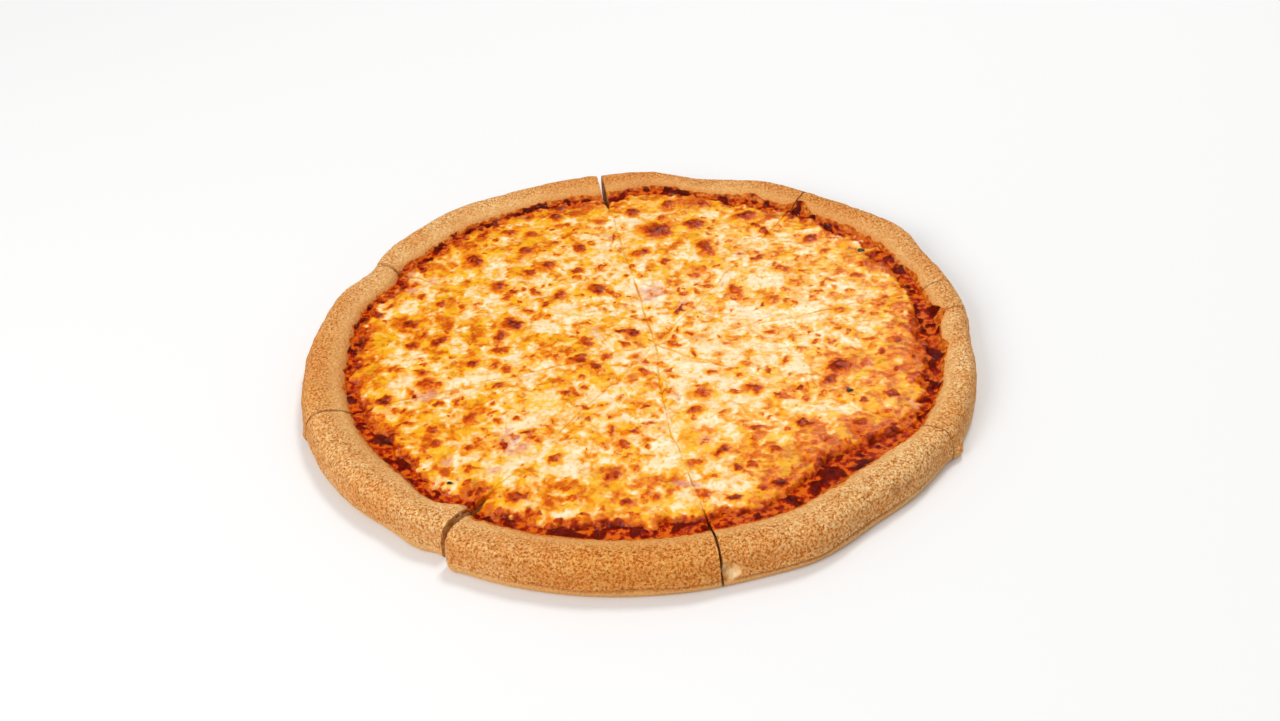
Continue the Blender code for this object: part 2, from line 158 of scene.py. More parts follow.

# Browned spots of the cheese: (x, y, length, width, turn in degrees, depth from 0 to 1).
SPOTS = (
    (-81, 78, 13, 8, -62, 0.85), (-55, 84, 10, 8, 60, 0.7), (-57, 79, 5, 5, 0, 0.45),
    (-52, 101, 7, 7, 0, 0.7), (-64, 105, 10, 6, -10, 0.72), (-91, 97, 11, 6, -70, 0.8),
    (-98, 92, 5, 4, 0, 0.75), (-110, 79, 8, 4, 5, 0.9), (-108, 74, 7, 4, -70, 0.9),
    (-112, 59, 9, 3, 20, 0.5), (-123, 50, 6, 3, 0, 0.7), (-133, 45, 7, 5, 10, 0.95),
    (-121, 41, 5, 4, 0, 0.6), (-134, 34, 6, 5, 0, 0.92), (-127, 34, 6, 4, 10, 0.85),
    (-137, 29, 8, 4, 80, 0.85), (-110, 25, 9, 6, -20, 0.75), (-133, 14, 10, 8, -50, 0.9),
    (-108, 7, 6, 5, 0, 0.75), (-102, 14, 9, 3, 80, 0.62), (-95, 8, 12, 6, 50, 0.78),
    (-95, 41, 6, 6, 0, 0.6), (-103, 37, 5, 5, 0, 0.4), (-60, 18, 10, 8, -50, 0.88), (-62, 23, 4, 4, 0, 0.6),
    (-66, 9, 7, 5, 80, 0.75), (-65, -2, 8, 6, 0, 0.6), (-67, 52, 8, 7, 30, 0.75), (-60, 47, 4, 3, 0, 0.8),
    (-55, 48, 3, 3, 0, 0.5), (-52, 63, 6, 6, 0, 0.75), (-43, 69, 7, 7, 40, 0.76), (-28, 63, 6, 5, 0, 0.75),
    (-26, 83, 9, 5, -60, 0.75), (-40, 90, 6, 4, 0, 0.6), (-15, 64, 5, 4, 0, 0.5), (-37, 41, 9, 6, 70, 0.7),
    (-27, 40, 3, 3, 0, 0.85), (-18, 45, 9, 8, -20, 0.72), (-10, 39, 12, 4, -35, 0.5),
    (-49, 46, 8, 4, -60, 0.55), (-44, 33, 5, 4, 60, 0.7), (-52, 29, 5, 4, 0, 0.55), (-42, 23, 3, 3, 0, 0.6),
    (-63, 41, 3, 3, 0, 0.6), (-39, 116, 7, 6, 0, 0.86), (-41, 104, 3, 2, 0, 0.7), (-28, 102, 3, 2, 0, 0.6),
    (-16, 109, 7, 5, -40, 0.55), (-23, 98, 3, 2, -30, 0.72), (-70, 97, 4, 3, 80, 0.6),
    (-81, 94, 5, 4, 0, 0.65), (-78, 99, 6, 3, 30, 0.45), (-76, 92, 3, 3, 0, 0.5),
    (-38, 126, 10, 5, 0, 0.95), (-33, 132, 9, 5, 80, 0.95), (-26, 126, 9, 6, 10, 0.75),
    (-19, 133, 9, 4, -15, 0.8), (-53, 126, 12, 3, -35, 0.95), (-83, 111, 12, 5, 27, 0.97),
    (-73, 116, 12, 5, 27, 0.95), (-63, 120, 10, 5, 20, 0.95), (-7, 124, 5, 4, -40, 0.92),
    (3, 116, 7, 7, 0, 0.87), (15, 96, 15, 14, 20, 0.9), (-8, 91, 9, 2, 85, 0.7),
    (34, 100, 11, 9, -30, 0.78), (43, 93, 4, 4, 0, 0.5), (39, 75, 14, 7, -80, 0.78),
    (5, 75, 10, 6, 20, 0.72), (17, 65, 5, 5, 0, 0.6), (18, 108, 5, 4, 0, 0.55), (22, 121, 10, 9, 70, 0.7),
    (8, 137, 4, 3, 0, 0.7), (27, 136, 6, 4, 0, 0.92), (40, 121, 6, 6, 0, 0.86), (52, 124, 10, 6, -60, 0.76),
    (30, 111, 5, 3, 70, 0.4), (62, 104, 14, 8, 15, 0.82), (66, 94, 8, 4, -60, 0.78),
    (71, 87, 8, 4, -60, 0.78), (64, 62, 7, 4, 30, 0.8), (75, 50, 8, 6, 0, 0.64), (84, 47, 7, 5, -20, 0.46),
    (82, 37, 10, 7, -30, 0.42), (50, 34, 9, 7, 80, 0.56), (67, 24, 9, 7, 40, 0.46), (63, 20, 3, 2, 0, 0.65),
    (91, 60, 5, 4, 0, 0.45), (93, 77, 9, 6, 10, 0.76), (99, 65, 4, 4, 0, 0.6), (103, 90, 9, 6, -20, 0.92),
    (97, 99, 6, 4, 30, 0.92), (87, 100, 7, 4, 70, 0.9), (117, 50, 7, 6, 80, 0.65), (112, 40, 6, 5, 0, 0.66),
    (103, 45, 8, 4, 20, 0.4), (132, 44, 7, 6, 60, 0.86), (136, 25, 5, 4, 0, 0.8), (122, 20, 4, 4, 0, 0.7),
    (91, 27, 3, 3, 0, 0.55), (97, 25, 5, 3, 80, 0.36), (106, 26, 4, 3, 0, 0.4), (99, 11, 7, 7, 0, 0.52),
    (109, 9, 5, 5, 0, 0.42), (119, 13, 5, 5, 0, 0.56), (131, 12, 5, 4, 0, 0.6), (22, 20, 11, 3, 65, 0.95),
    (31, 35, 8, 3, -60, 0.5), (31, 51, 6, 4, 0, 0.6), (38, 44, 4, 3, 60, 0.5), (4, 53, 5, 4, 80, 0.45),
    (16, 28, 4, 3, 0, 0.45), (56, 68, 4, 3, 0, 0.45), (13, 1, 8, 5, 50, 0.42), (17, -6, 5, 5, 0, 0.56),
    (20, 3, 4, 3, 60, 0.6), (63, -3, 4, 3, 0, 0.66), (73, -9, 6, 6, 0, 0.46), (27, -15, 4, 2, -60, 0.66),
    (38, -18, 5, 4, 0, 0.46), (45, -12, 4, 3, 60, 0.4), (60, -34, 4, 4, 0, 0.92), (44, -30, 7, 2, 5, 0.6),
    (33, -31, 5, 3, 0, 0.6), (68, -26, 5, 4, 60, 0.56), (92, -33, 13, 11, 20, 0.82),
    (86, -43, 10, 5, 50, 0.76), (104, -33, 6, 5, 60, 0.5), (113, -25, 4, 4, 0, 0.76),
    (122, -17, 5, 4, 0, 0.7), (125, -6, 3, 3, 0, 0.7), (110, -14, 8, 4, 0, 0.5),
    (112, -57, 8, 5, -35, 0.82), (118, -40, 6, 3, 80, 0.76), (100, -60, 5, 4, 60, 0.8),
    (135, -26, 10, 8, -20, 0.92), (127, -30, 3, 3, 0, 0.8), (130, -45, 8, 7, 50, 0.88),
    (132, -4, 10, 5, 75, 0.88), (52, -46, 7, 6, -30, 0.76), (44, -48, 11, 2, 0, 0.5),
    (64, -53, 8, 3, -10, 0.62), (72, -48, 4, 3, 60, 0.8), (24, -59, 7, 6, 0, 0.66),
    (28, -48, 9, 7, -20, 0.5), (26, -42, 4, 3, 40, 0.5), (37, -62, 4, 3, 0, 0.4), (56, -68, 3, 3, 0, 0.42),
    (71, -73, 9, 4, 0, 0.86), (51, -74, 12, 3, 0, 0.66), (95, -75, 8, 5, 20, 0.78),
    (110, -78, 6, 5, 0, 0.82), (33, -88, 9, 5, 35, 0.82), (21, -94, 8, 4, 20, 0.56),
    (39, -99, 5, 5, 0, 0.82), (46, -98, 4, 4, 0, 0.8), (57, -90, 5, 5, 0, 0.76), (80, -85, 5, 4, 0, 0.7),
    (72, -87, 8, 3, 0, 0.5), (27, -81, 6, 5, 40, 0.5), (55, -102, 3, 3, 0, 0.55), (62, -103, 3, 3, 0, 0.55),
    (24, -115, 8, 4, -20, 0.66), (36, -118, 8, 4, 5, 0.92), (4, -115, 5, 4, 70, 0.66),
    (48, -114, 5, 4, 0, 0.72), (55, -112, 10, 5, 15, 0.95), (74, -102, 10, 5, 70, 0.86),
    (93, -100, 8, 4, 10, 0.9), (97, -86, 8, 7, 0, 0.86), (108, -82, 8, 6, 0, 0.86),
    (-78, -11, 7, 7, 0, 0.76), (-101, -16, 7, 4, 0, 0.66), (-99, -25, 8, 7, -30, 0.66),
    (-104, -33, 4, 4, 0, 0.82), (-118, -36, 8, 7, -20, 0.92), (-116, -11, 5, 5, 0, 0.6),
    (-129, -34, 4, 2, 0, 0.82), (-65, -30, 7, 5, 20, 0.66), (-58, -24, 4, 3, 0, 0.55),
    (-61, -18, 6, 5, 0, 0.56), (-76, -52, 9, 6, 60, 0.66), (-67, -50, 4, 3, 0, 0.5),
    (-92, -41, 4, 4, 0, 0.7), (-84, -41, 6, 4, 70, 0.6), (-108, -45, 5, 3, 60, 0.56),
    (-92, -70, 6, 5, 0, 0.76), (-94, -60, 6, 4, 0, 0.6), (-70, -62, 4, 4, 0, 0.45),
    (-76, -75, 7, 4, 0, 0.7), (-106, -54, 8, 3, 0, 0.6), (-115, -62, 13, 8, -10, 0.9),
    (-62, -74, 7, 3, 80, 0.8), (-51, -66, 5, 3, -20, 0.75), (-47, -73, 4, 2, 0, 0.6),
    (-75, -88, 8, 5, 0, 0.62), (-70, -103, 7, 5, 30, 0.72), (-77, -98, 5, 3, 80, 0.7),
    (-39, -85, 7, 4, 30, 0.66), (-55, -109, 9, 6, 20, 0.82), (-34, -105, 8, 4, 0, 0.46),
    (-31, -112, 8, 4, 0, 0.46), (-14, -100, 8, 6, 50, 0.72), (-8, -117, 6, 4, 0, 0.72),
    (-27, -123, 4, 3, 0, 0.92), (-9, -80, 7, 5, -50, 0.52), (-18, -78, 4, 3, 80, 0.6),
    (-5, -70, 8, 3, 0, 0.66), (-14, -69, 6, 4, 70, 0.6), (2, -54, 4, 3, 60, 0.66), (3, -66, 6, 2, 0, 0.5),
    (-14, -59, 3, 3, 0, 0.7), (-24, -60, 4, 3, 60, 0.7), (-34, -39, 6, 3, 0, 0.76),
    (-30, -42, 4, 4, 0, 0.6), (-25, -51, 6, 3, 0, 0.6), (-18, -51, 5, 4, 0, 0.42),
    (-28, -14, 9, 5, 25, 0.72), (-38, -11, 4, 4, 0, 0.66), (-49, -9, 4, 3, 0, 0.5),
    (-15, -13, 5, 4, 70, 0.66), (-20, -21, 8, 5, -50, 0.76), (-27, -29, 4, 4, 0, 0.6),
    (-24, -1, 8, 6, -60, 0.62), (-6, 7, 7, 4, -10, 0.86), (-2, 4, 6, 5, -40, 0.86),
    (2, -28, 8, 5, -45, 0.6), (-6, -4, 6, 3, -40, 0.6), (-24, 14, 5, 2, 0, 0.72), (-28, 14, 5, 3, 80, 0.46),
    (14, -27, 5, 2, 50, 0.55),
)
# Spots darker than this show in the sauce too.
SAUCE_SPOT_DEPTH = 0.7
# Small flecks by a seeded draw.
FLECK_SEED = 5
FLECKS = 760
FLECK_REACH = 136.0
FLECK_SIZE = (1.8, 6.0)
FLECK_DEPTH = (0.1, 0.52)

# Patches, (x, y, length, width, turn, strength), here and below. First the oily yellow pools.
POOLS = (
    (-47, -45, 34, 15, -25, 1.0), (-8, -40, 38, 4, -3, 0.9), (-22, -62, 20, 8, 10, 0.6),
    (-88, -78, 16, 8, -20, 0.7), (18, -70, 10, 22, 10, 0.7), (66, -62, 26, 7, 20, 0.6),
    (24, -84, 26, 12, 0, 0.7), (60, -92, 20, 10, 0, 0.5), (131, 33, 14, 6, -80, 0.8),
    (118, 60, 20, 12, 20, 0.6), (-30, 24, 14, 12, 0, 0.6), (-18, 18, 14, 10, 0, 0.5),
    (-115, -73, 14, 8, -60, 0.6), (30, -62, 20, 6, 10, 0.6), (-34, 76, 18, 14, 0, 0.4),
    (-62, -85, 20, 8, 35, 0.7), (80, 10, 16, 6, 0, 0.5), (20, -98, 20, 8, 0, 0.5),
    (-45, -95, 22, 8, 10, 0.5), (12, -118, 26, 6, 5, 0.5), (100, 60, 16, 16, 0, 0.4),
    (46, 100, 14, 20, 0, 0.5), (110, -62, 12, 6, -40, 0.8), (-6, 56, 6, 30, 8, 0.6),
)
# Raised folds of the cheese, painted pale along their ridges as a highlight, (x, y, length, width, turn,
# height).
FOLDS = (
    (24, -24, 26, 4, -12, 0.9), (46, -30, 26, 4, -14, 0.8), (58, -36, 16, 4, -35, 0.6),
    (11, -40, 26, 3, -84, 0.8), (12, -66, 34, 3, -85, 0.8), (17, -98, 26, 3, -80, 0.7),
    (-27, -41, 12, 2.4, -62, 0.9), (-32, -49, 8, 2.4, -50, 0.8), (-4, 42, 24, 3, 82, 0.7),
    (-8, 58, 20, 4, 85, 0.6), (-18, 1, 12, 3, -70, 0.8), (14, 34, 16, 5, 55, 0.5),
    (-57, -72, 14, 3, 80, 0.6), (70, -58, 18, 3, -28, 0.6), (78, -64, 22, 3, 22, 0.6),
    (-80, -24, 22, 3, 12, 0.6), (-86, -38, 16, 3, 8, 0.5), (32, 14, 22, 3, 14, 0.5),
    (44, 40, 24, 3, 50, 0.5), (68, 78, 18, 3, 48, 0.5), (-48, -4, 20, 3, 12, 0.5), (64, 4, 24, 3, 10, 0.5),
    (6, 62, 20, 3, 80, 0.5), (100, -2, 16, 3, 20, 0.5), (-124, 74, 10, 3, -30, 0.9),
    (21, -128, 14, 4, -75, 0.9), (-62, -88, 12, 3, 40, 0.6), (96, 30, 26, 3, 10, 0.4),
)
# Toasted ground; pale ground, the cheese's cream and, at the centre right and beside some cuts, a painted
# sheen; and places where the sauce shows.
TOASTED = (
    (-70, 95, 110, 50, 30, 0.31), (-100, 20, 90, 60, 0, 0.22), (-20, 120, 60, 24, 0, 0.3),
    (75, 100, 60, 26, -35, 0.36), (120, 55, 50, 22, -65, 0.34), (112, -35, 50, 80, 0, 0.44),
    (85, -85, 96, 48, 30, 0.62), (-60, 50, 110, 90, 30, 0.06), (-30, -20, 40, 30, 0, 0.12),
    (-100, -75, 50, 30, -60, 0.25), (-20, -105, 80, 26, 0, 0.28), (-55, -40, 90, 70, 0, 0.06),
)
PALE = (
    (30, -5, 60, 34, 10, 0.4), (50, -25, 60, 14, -12, 0.45), (5, 35, 26, 40, 0, 0.35),
    (-75, 35, 50, 24, 0, 0.25), (-78, -22, 36, 16, 5, 0.45), (60, 45, 30, 30, 0, 0.2),
    (-12, 55, 12, 34, 10, 0.4), (80, -60, 44, 14, -25, 0.3), (-60, -62, 40, 26, 30, 0.3),
    (10, -88, 14, 40, 15, 0.25), (70, 75, 34, 14, 45, 0.25), (-100, 62, 40, 14, 15, 0.25),
    (20, -25, 34, 10, -10, 0.4), (50, 5, 40, 12, 10, 0.3), (-110, -22, 24, 10, 0, 0.3),
    (70, 0, 120, 70, 0, 0.2),
)
SAUCE_BELOW = (
    (-95, -34, 24, 12, 0, 0.55), (-57, -71, 16, 22, 10, 0.7), (-20, 6, 7, 14, 10, 0.55),
    (10, 38, 24, 20, 0, 0.5), (24, 26, 8, 18, -10, 0.5), (47, 41, 8, 5, 0, 0.45), (28, -1, 20, 8, 0, 0.3),
    (15, -50, 7, 18, 0, 0.5), (27, -80, 9, 8, 0, 0.55), (3, -17, 8, 10, 0, 0.45),
    (-117, 67, 16, 12, 30, 0.75), (-112, 57, 22, 9, 20, 0.6), (-66, -89, 10, 8, 0, 0.5),
    (18, -109, 16, 10, -30, 0.6), (-102, 62, 10, 14, 0, 0.45), (56, 68, 8, 9, 0, 0.45),
    (105, -33, 7, 10, 0, 0.5), (122, -66, 10, 10, 0, 0.35), (82, 104, 8, 8, 0, 0.5),
    (-86, -82, 6, 12, -10, 0.5), (-13, 94, 18, 6, -45, 0.45), (-98, 80, 10, 8, 0, 0.35),
    (42, -56, 8, 5, 0, 0.4), (34, 16, 12, 12, 0, 0.3), (110, 22, 20, 10, 0, 0.3),
    (-30, -57, 10, 8, 0, 0.35), (3, -66, 10, 4, 0, 0.5), (-50, -66, 6, 4, 0, 0.6),
)
# Dark flakes of herb baked into the cheese, (x, y, length, width, turn, depth).
HERBS = (
    (94.0, -52.0, 7.0, 2.6, 82.0, 1.0), (117.5, 62.6, 3.4, 2.2, 0.0, 1.0),
    (-84.0, -96.0, 3.0, 2.0, 30.0, 0.8),
)

# Tones of the materials, as (place on the ramp, colour).
CHEESE_TONES = (
    (0.0, "#FAEED4"), (0.14, "#F7DAA6"), (0.32, "#F3BF66"), (0.48, "#F0A428"), (0.62, "#EA8A0A"),
    (0.8, "#DC6E06"), (1.0, "#C04E02"),
)
BELOW_TONES = ((0.0, "#EBC4A8"), (0.5, "#DF9F84"), (0.75, "#BC5636"), (1.0, "#90200E"))
SEEP_TONES = ((0.0, "#EEA024"), (0.42, "#D96C0C"), (0.68, "#B43A06"), (1.0, "#781404"))
SCORCH_TONES = (
    (0.0, "#F59E12"), (0.22, "#EC7E06"), (0.42, "#D05200"), (0.6, "#B03C00"), (0.8, "#8A2200"),
    (1.0, "#561200"),
)
SAUCE_TONES = ((0.0, "#DA640A"), (0.13, "#C23A04"), (0.3, "#A21E03"), (0.55, "#740F02"), (1.0, "#460702"))
FILM_TONES = ((0.36, "#A83A06"), (0.5, "#CC6212"), (0.64, "#E2943E"))
BURNT_TONES = ((0.0, "#941C02"), (0.5, "#701002"), (1.0, "#460803"))
TAN_TONES = ((0.36, "#E29648"), (0.48, "#F0AE60"), (0.62, "#FCC67C"))
COAT_TONES = ((0.37, "#803C0C"), (0.435, "#D4863A"), (0.5, "#FEBE6C"), (0.57, "#FFF0C2"))
CRUMB_TONES = ((0.35, "#CC8640"), (0.55, "#F2C284"), (0.7, "#FCE4B8"))
# Constants of the materials' surfaces, by socket.
CHEESE_SURFACE = {
    "Specular IOR Level": 0.26,
    "Subsurface Weight": 0.1,
    "Subsurface Radius": (1.0, 0.55, 0.25),
    "Subsurface Scale": 0.0012,
}
SAUCE_SURFACE = {"Specular IOR Level": 0.2}
DOUGH_SURFACE = {"Specular IOR Level": 0.12}
FLOOR_SURFACE = {"Base Color": (*FLOOR_TONE, 1.0), "Roughness": 0.9, "Specular IOR Level": 0.1}

# Spacing of the meshes' points. Arc steps are measured along the outline.
RIM_STEP = 0.42
FLAT_STEP = 1.2
CUT_FACE_ROWS = 14
SAUCE_STEP = 0.6
CHEESE_STEP = 0.54
CHEESE_ARC_STEP = CHEESE_STEP / 0.82
WELD = 1e-4

# Random values on a cubic lattice, for all the uneven shapes.
LATTICE_SIZE = 64
LATTICE = np.random.default_rng(11).uniform(-1.0, 1.0, (LATTICE_SIZE,) * 3)
LAYER_SHIFT = (7.13, 3.71, 5.39)
# Layers of noise, (strength, length, layer).
RIM_LUMPS = ((0.9, 21.0, 2), (0.3, 6.0, 3), (0.12, 3.0, 4))
CRUMB_PORES = ((1.0, 2.2, 14), (0.6, 1.0, 15))
RIM_GRIT = ((0.65, 1.0, 16), (0.5, 0.8, 17))
LAP_RAGGED = ((0.9, 5.0, 22), (0.54, 2.0, 23))
CHEESE_RAGGED = ((4.4, 6.0, 30), (2.6, 2.6, 31))
WARP_X = ((1.7, 3.6, 32), (0.8, 1.5, 33))
WARP_Y = ((1.7, 3.6, 34), (0.8, 1.5, 35))
MOTTLE = ((0.42, 9.0, 36), (0.55, 4.6, 37), (0.38, 2.3, 38))
SEEP_WANDER = ((3.0, 5.0, 40), (1.6, 2.0, 51))
CHEESE_WAVES = ((0.42, 17.0, 44), (0.4, 7.0, 45))
EDGE_LUMPS = ((1.0, 4.2, 53), (0.3, 1.8, 54))


def rough(x, y, z, length, layer):
    """Smooth noise from -1 to 1: lattice values at a pitch of length, blended by the cubic 3t^2 - 2t^3.

    Each layer reads the lattice at its own offset, so it is a pattern of its own.
    """
    x, y, z = np.broadcast_arrays(x, y, z)
    cells = []
    shares = []
    for part, shift in zip((x, y, z), LAYER_SHIFT):
        place = part / length + shift * layer
        cell = np.floor(place)
        share = place - cell
        cells.append(cell.astype(int))
        shares.append(share * share * (3.0 - 2.0 * share))
    total = np.zeros(x.shape)
    for corner in np.ndindex(2, 2, 2):
        index = tuple((cell + step) % LATTICE_SIZE for cell, step in zip(cells, corner))
        weight = np.ones(x.shape)
        for share, step in zip(shares, corner):
            weight = weight * (share if step else 1.0 - share)
        total += weight * LATTICE[index]
    return total


def layers(x, y, z, rows):
    """Noise of several sizes: the sum of strength times rough noise over the rows."""
    return sum(strength * rough(x, y, z, length, layer) for strength, length, layer in rows)


def smooth(low, high, value):
    """0 below low, 1 above high, and the cubic 3t^2 - 2t^3 between them."""
    share = np.clip((value - low) / (high - low), 0.0, 1.0)
    return share * share * (3.0 - 2.0 * share)


def swell(angle, swells):
    """Sum of height times exp(-(degrees away / spread)^2) over the swells, at angles in radians."""
    total = np.zeros(np.shape(angle))
    for centre, spread, height in swells:
        away = (np.degrees(angle) - centre + 180.0) % 360.0 - 180.0
        total = total + height * np.exp(-((away / spread) ** 2))
    return total


def outline_radius(angle):
    """The plain radius of the dough and its swells."""
    return OUTLINE_RADIUS + swell(angle, OUTLINE_SWELLS)


def rim_width(angle):
    """The plain width of the rim and its swells."""
    return RIM_WIDTH + swell(angle, RIM_WIDTH_SWELLS)


def radius_at_inset(angle, inset):
    """An inset is counted on a rim of the plain width, and stretched to the width at its angle."""
    return outline_radius(angle) - inset * rim_width(angle) / RIM_WIDTH


def inset_at(x, y):
    """The inset of a place in plan: radius_at_inset the other way round."""
    angle = np.arctan2(y, x)
    return (outline_radius(angle) - np.hypot(x, y)) * RIM_WIDTH / rim_width(angle)


def cheese_radius(angle):
    """The mean edge of the cheese, inside the rim's foot by the width of the bare ring of sauce."""
    return radius_at_inset(angle, RIM_WIDTH) - RING_WIDTH - swell(angle, RING_WIDTH_SWELLS)


def ellipse_away(x, y, patch):
    """Distance from a patch's middle, as a share of its half axes: 1 on the ellipse."""
    centre_x, centre_y, length, width, turn = patch[:5]
    cosine = math.cos(math.radians(turn))
    sine = math.sin(math.radians(turn))
    along = (x - centre_x) * cosine + (y - centre_y) * sine
    across = (y - centre_y) * cosine - (x - centre_x) * sine
    return np.hypot(along * 2.0 / length, across * 2.0 / width)


def patches(x, y, rows):
    """The strongest of the patches at each place: strength times 1 - smooth(0.3, 1.3, ellipse_away)."""
    total = np.zeros(np.shape(x))
    for row in rows:
        total = np.maximum(total, row[5] * (1.0 - smooth(0.3, 1.3, ellipse_away(x, y, row))))
    return total


class Wedge:
    """The plan of one slice: columns fan out from its tip between its two cut faces."""

    def __init__(self, number, step, shrink=0.0, closed=False):
        self.cuts = (number - 1, number % len(RAYS))
        arc = OUTLINE_RADIUS * math.radians((RAYS[self.cuts[1]][0] - RAYS[self.cuts[0]][0]) % 360.0)
        low_start, low_run = self.cut_face(self.cuts[0], 1.0, shrink, closed)
        high_start, high_run = self.cut_face(self.cuts[1], -1.0, shrink, closed)
        crossed = low_run[0] * high_run[1] - low_run[1] * high_run[0]
        gap = high_start - low_start
        self.tip = low_start + low_run * (gap[0] * high_run[1] - gap[1] * high_run[0]) / crossed
        start = math.atan2(low_run[1], low_run[0])
        self.span = (math.atan2(high_run[1], high_run[0]) - start) % (2.0 * math.pi)
        self.share = np.linspace(0.0, 1.0, round(arc / step) + 1)
        turn = start + self.span * self.share
        self.run = np.stack([np.cos(turn), np.sin(turn)])
        self.low_across = np.array((-low_run[1], low_run[0]))
        self.high_across = np.array((-high_run[1], high_run[0]))

    @staticmethod
    def cut_face(index, side, shrink, closed):
        """A point and the unit direction of a cut's face in plan. Side is 1 anticlockwise of the cut."""
        gaps = (CHEESE_GAP, CHEESE_GAP) if closed else (CROSSING_GAP, RAYS[index][1])
        angle = math.radians(RAYS[index][0])
        along = np.array((math.cos(angle), math.sin(angle)))
        across = np.array((-along[1], along[0])) * side
        start = CROSSING + across * (gaps[0] / 2.0 + shrink)
        end = CROSSING + along * OUTLINE_RADIUS + across * (gaps[1] / 2.0 + shrink)
        run = end - start
        return start, run / np.hypot(*run)

    def reach(self, radius_of):
        """Distance from the tip to a closed curve, by column: distance += wanted radius - radius."""
        distance = np.full(self.share.shape, OUTLINE_RADIUS)
        for _ in range(8):
            x = self.tip[0] + distance * self.run[0]
            y = self.tip[1] + distance * self.run[1]
            distance = distance + radius_of(np.arctan2(y, x)) - np.hypot(x, y)
        return distance

    def cut_wave(self, x, y, cut):
        """Sideways bend of a cut: its bow, and slow noise along it, fading at the crossing and at the rim."""
        angle = math.radians(RAYS[cut][0])
        along = (x - CROSSING[0]) * math.cos(angle) + (y - CROSSING[1]) * math.sin(angle)
        fade = smooth(4.0, 20.0, along) * (1.0 - smooth(110.0, 135.0, along))
        bow = CUT_BOWS[cut] * smooth(0.0, 50.0, along) * (1.0 - smooth(70.0, 135.0, along))
        return bow + CUT_WAVE * fade * rough(along, 31.0 * cut, 0.0, CUT_WAVE_LENGTH, 1)

    def place(self, distance, pinch=(0.0, 0.0)):
        """Plan coordinates at distances from the tip, bent sideways as the two cuts bend, and pinched in."""
        x = self.tip[0] + distance * self.run[0]
        y = self.tip[1] + distance * self.run[1]
        low = (1.0 - self.share) * (self.cut_wave(x, y, self.cuts[0]) + pinch[0])
        high = self.share * (self.cut_wave(x, y, self.cuts[1]) - pinch[1])
        x = x + low * self.low_across[0] + high * self.high_across[0]
        y = y + low * self.low_across[1] + high * self.high_across[1]
        return x, y

    def to_cut(self, distance):
        """Distance to the nearer cut face."""
        low = distance * np.sin(self.span * self.share)
        high = distance * np.sin(self.span * (1.0 - self.share))
        return np.minimum(low, high)


def grid_quads(rows, columns, start):
    """Quads of a grid numbered row by row. They face where rows x columns points, by the right-hand rule."""
    corner = start + np.arange(rows * columns).reshape(rows, columns)
    quads = np.stack([corner[:-1, :-1], corner[1:, :-1], corner[1:, 1:], corner[:-1, 1:]], -1)
    return quads.reshape(-1, 4)


def closed_mesh(name, grids, polygons, marks):
    """One mesh from grids of points and flat polygons, in millimetres. Points that fall together become one.

    marks holds a dictionary of point values for each grid, in the grid's shape. A polygon's own points get 0.
    """
    points = np.concatenate([grid.reshape(-1, 3) for grid in grids] + list(polygons))
    cells = np.round(points / WELD).astype(np.int64)
    _, first, merged = np.unique(cells, axis=0, return_index=True, return_inverse=True)
    merged = merged.reshape(-1)
    start = 0
    quads = []
    for grid in grids:
        quads.append(grid_quads(grid.shape[0], grid.shape[1], start))
        start += grid.shape[0] * grid.shape[1]
    quads = merged[np.concatenate(quads)]
    same = quads == np.roll(quads, -1, axis=1)
    lost = same.sum(axis=1)
    whole = quads[lost == 0]
    short = quads[lost == 1][~same[lost == 1]].reshape(-1, 3)
    corners = [whole.ravel(), short.ravel()]
    sizes = [np.full(len(whole), 4), np.full(len(short), 3)]
    for polygon in polygons:
        ring = merged[start:start + len(polygon)]
        start += len(polygon)
        ring = ring[ring != np.roll(ring, -1)]
        corners.append(ring)
        sizes.append(np.array([len(ring)]))
    corners = np.concatenate(corners)
    sizes = np.concatenate(sizes)
    mesh = bpy.data.meshes.new(name)
    mesh.vertices.add(len(first))
    mesh.vertices.foreach_set("co", (points[first] * MM).ravel())
    mesh.loops.add(len(corners))
    mesh.loops.foreach_set("vertex_index", corners)
    mesh.polygons.add(len(sizes))
    mesh.polygons.foreach_set("loop_start", np.cumsum(sizes) - sizes)
    mesh.update(calc_edges=True)
    mesh.validate()
    flat = np.zeros(sum(len(polygon) for polygon in polygons))
    for key in sorted({key for mark in marks for key in mark}):
        parts = [mark.get(key, np.zeros(grid.shape[:2])).ravel() for grid, mark in zip(grids, marks)]
        values = np.concatenate([*parts, flat])
        mesh.attributes.new(key, "FLOAT", "POINT").data.foreach_set("value", values[first])
    return mesh


def add_piece(kind, number, slot, sharp, material, *shape):
    """Puts a closed mesh in the scene, as a piece that rides with the pizza and stands for one CAD node.

    Edges that turn by more than sharp degrees stay sharp.
    """
    mesh = closed_mesh(f"{kind}_{number}", *shape)
    mesh.set_sharp_from_angle(angle=math.radians(sharp))
    mesh.materials.append(material)
    mesh.shade_smooth()
    piece = bpy.data.objects.new(f"{kind}_{number}", mesh)
    bpy.context.scene.collection.objects.link(piece)
    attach(piece, "root")
    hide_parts(f"slice_{number}_{slot}")


def stack(x, y, z):
    """Coordinates as points, brought to one shape."""
    return np.stack(np.broadcast_arrays(x, y, z), -1)


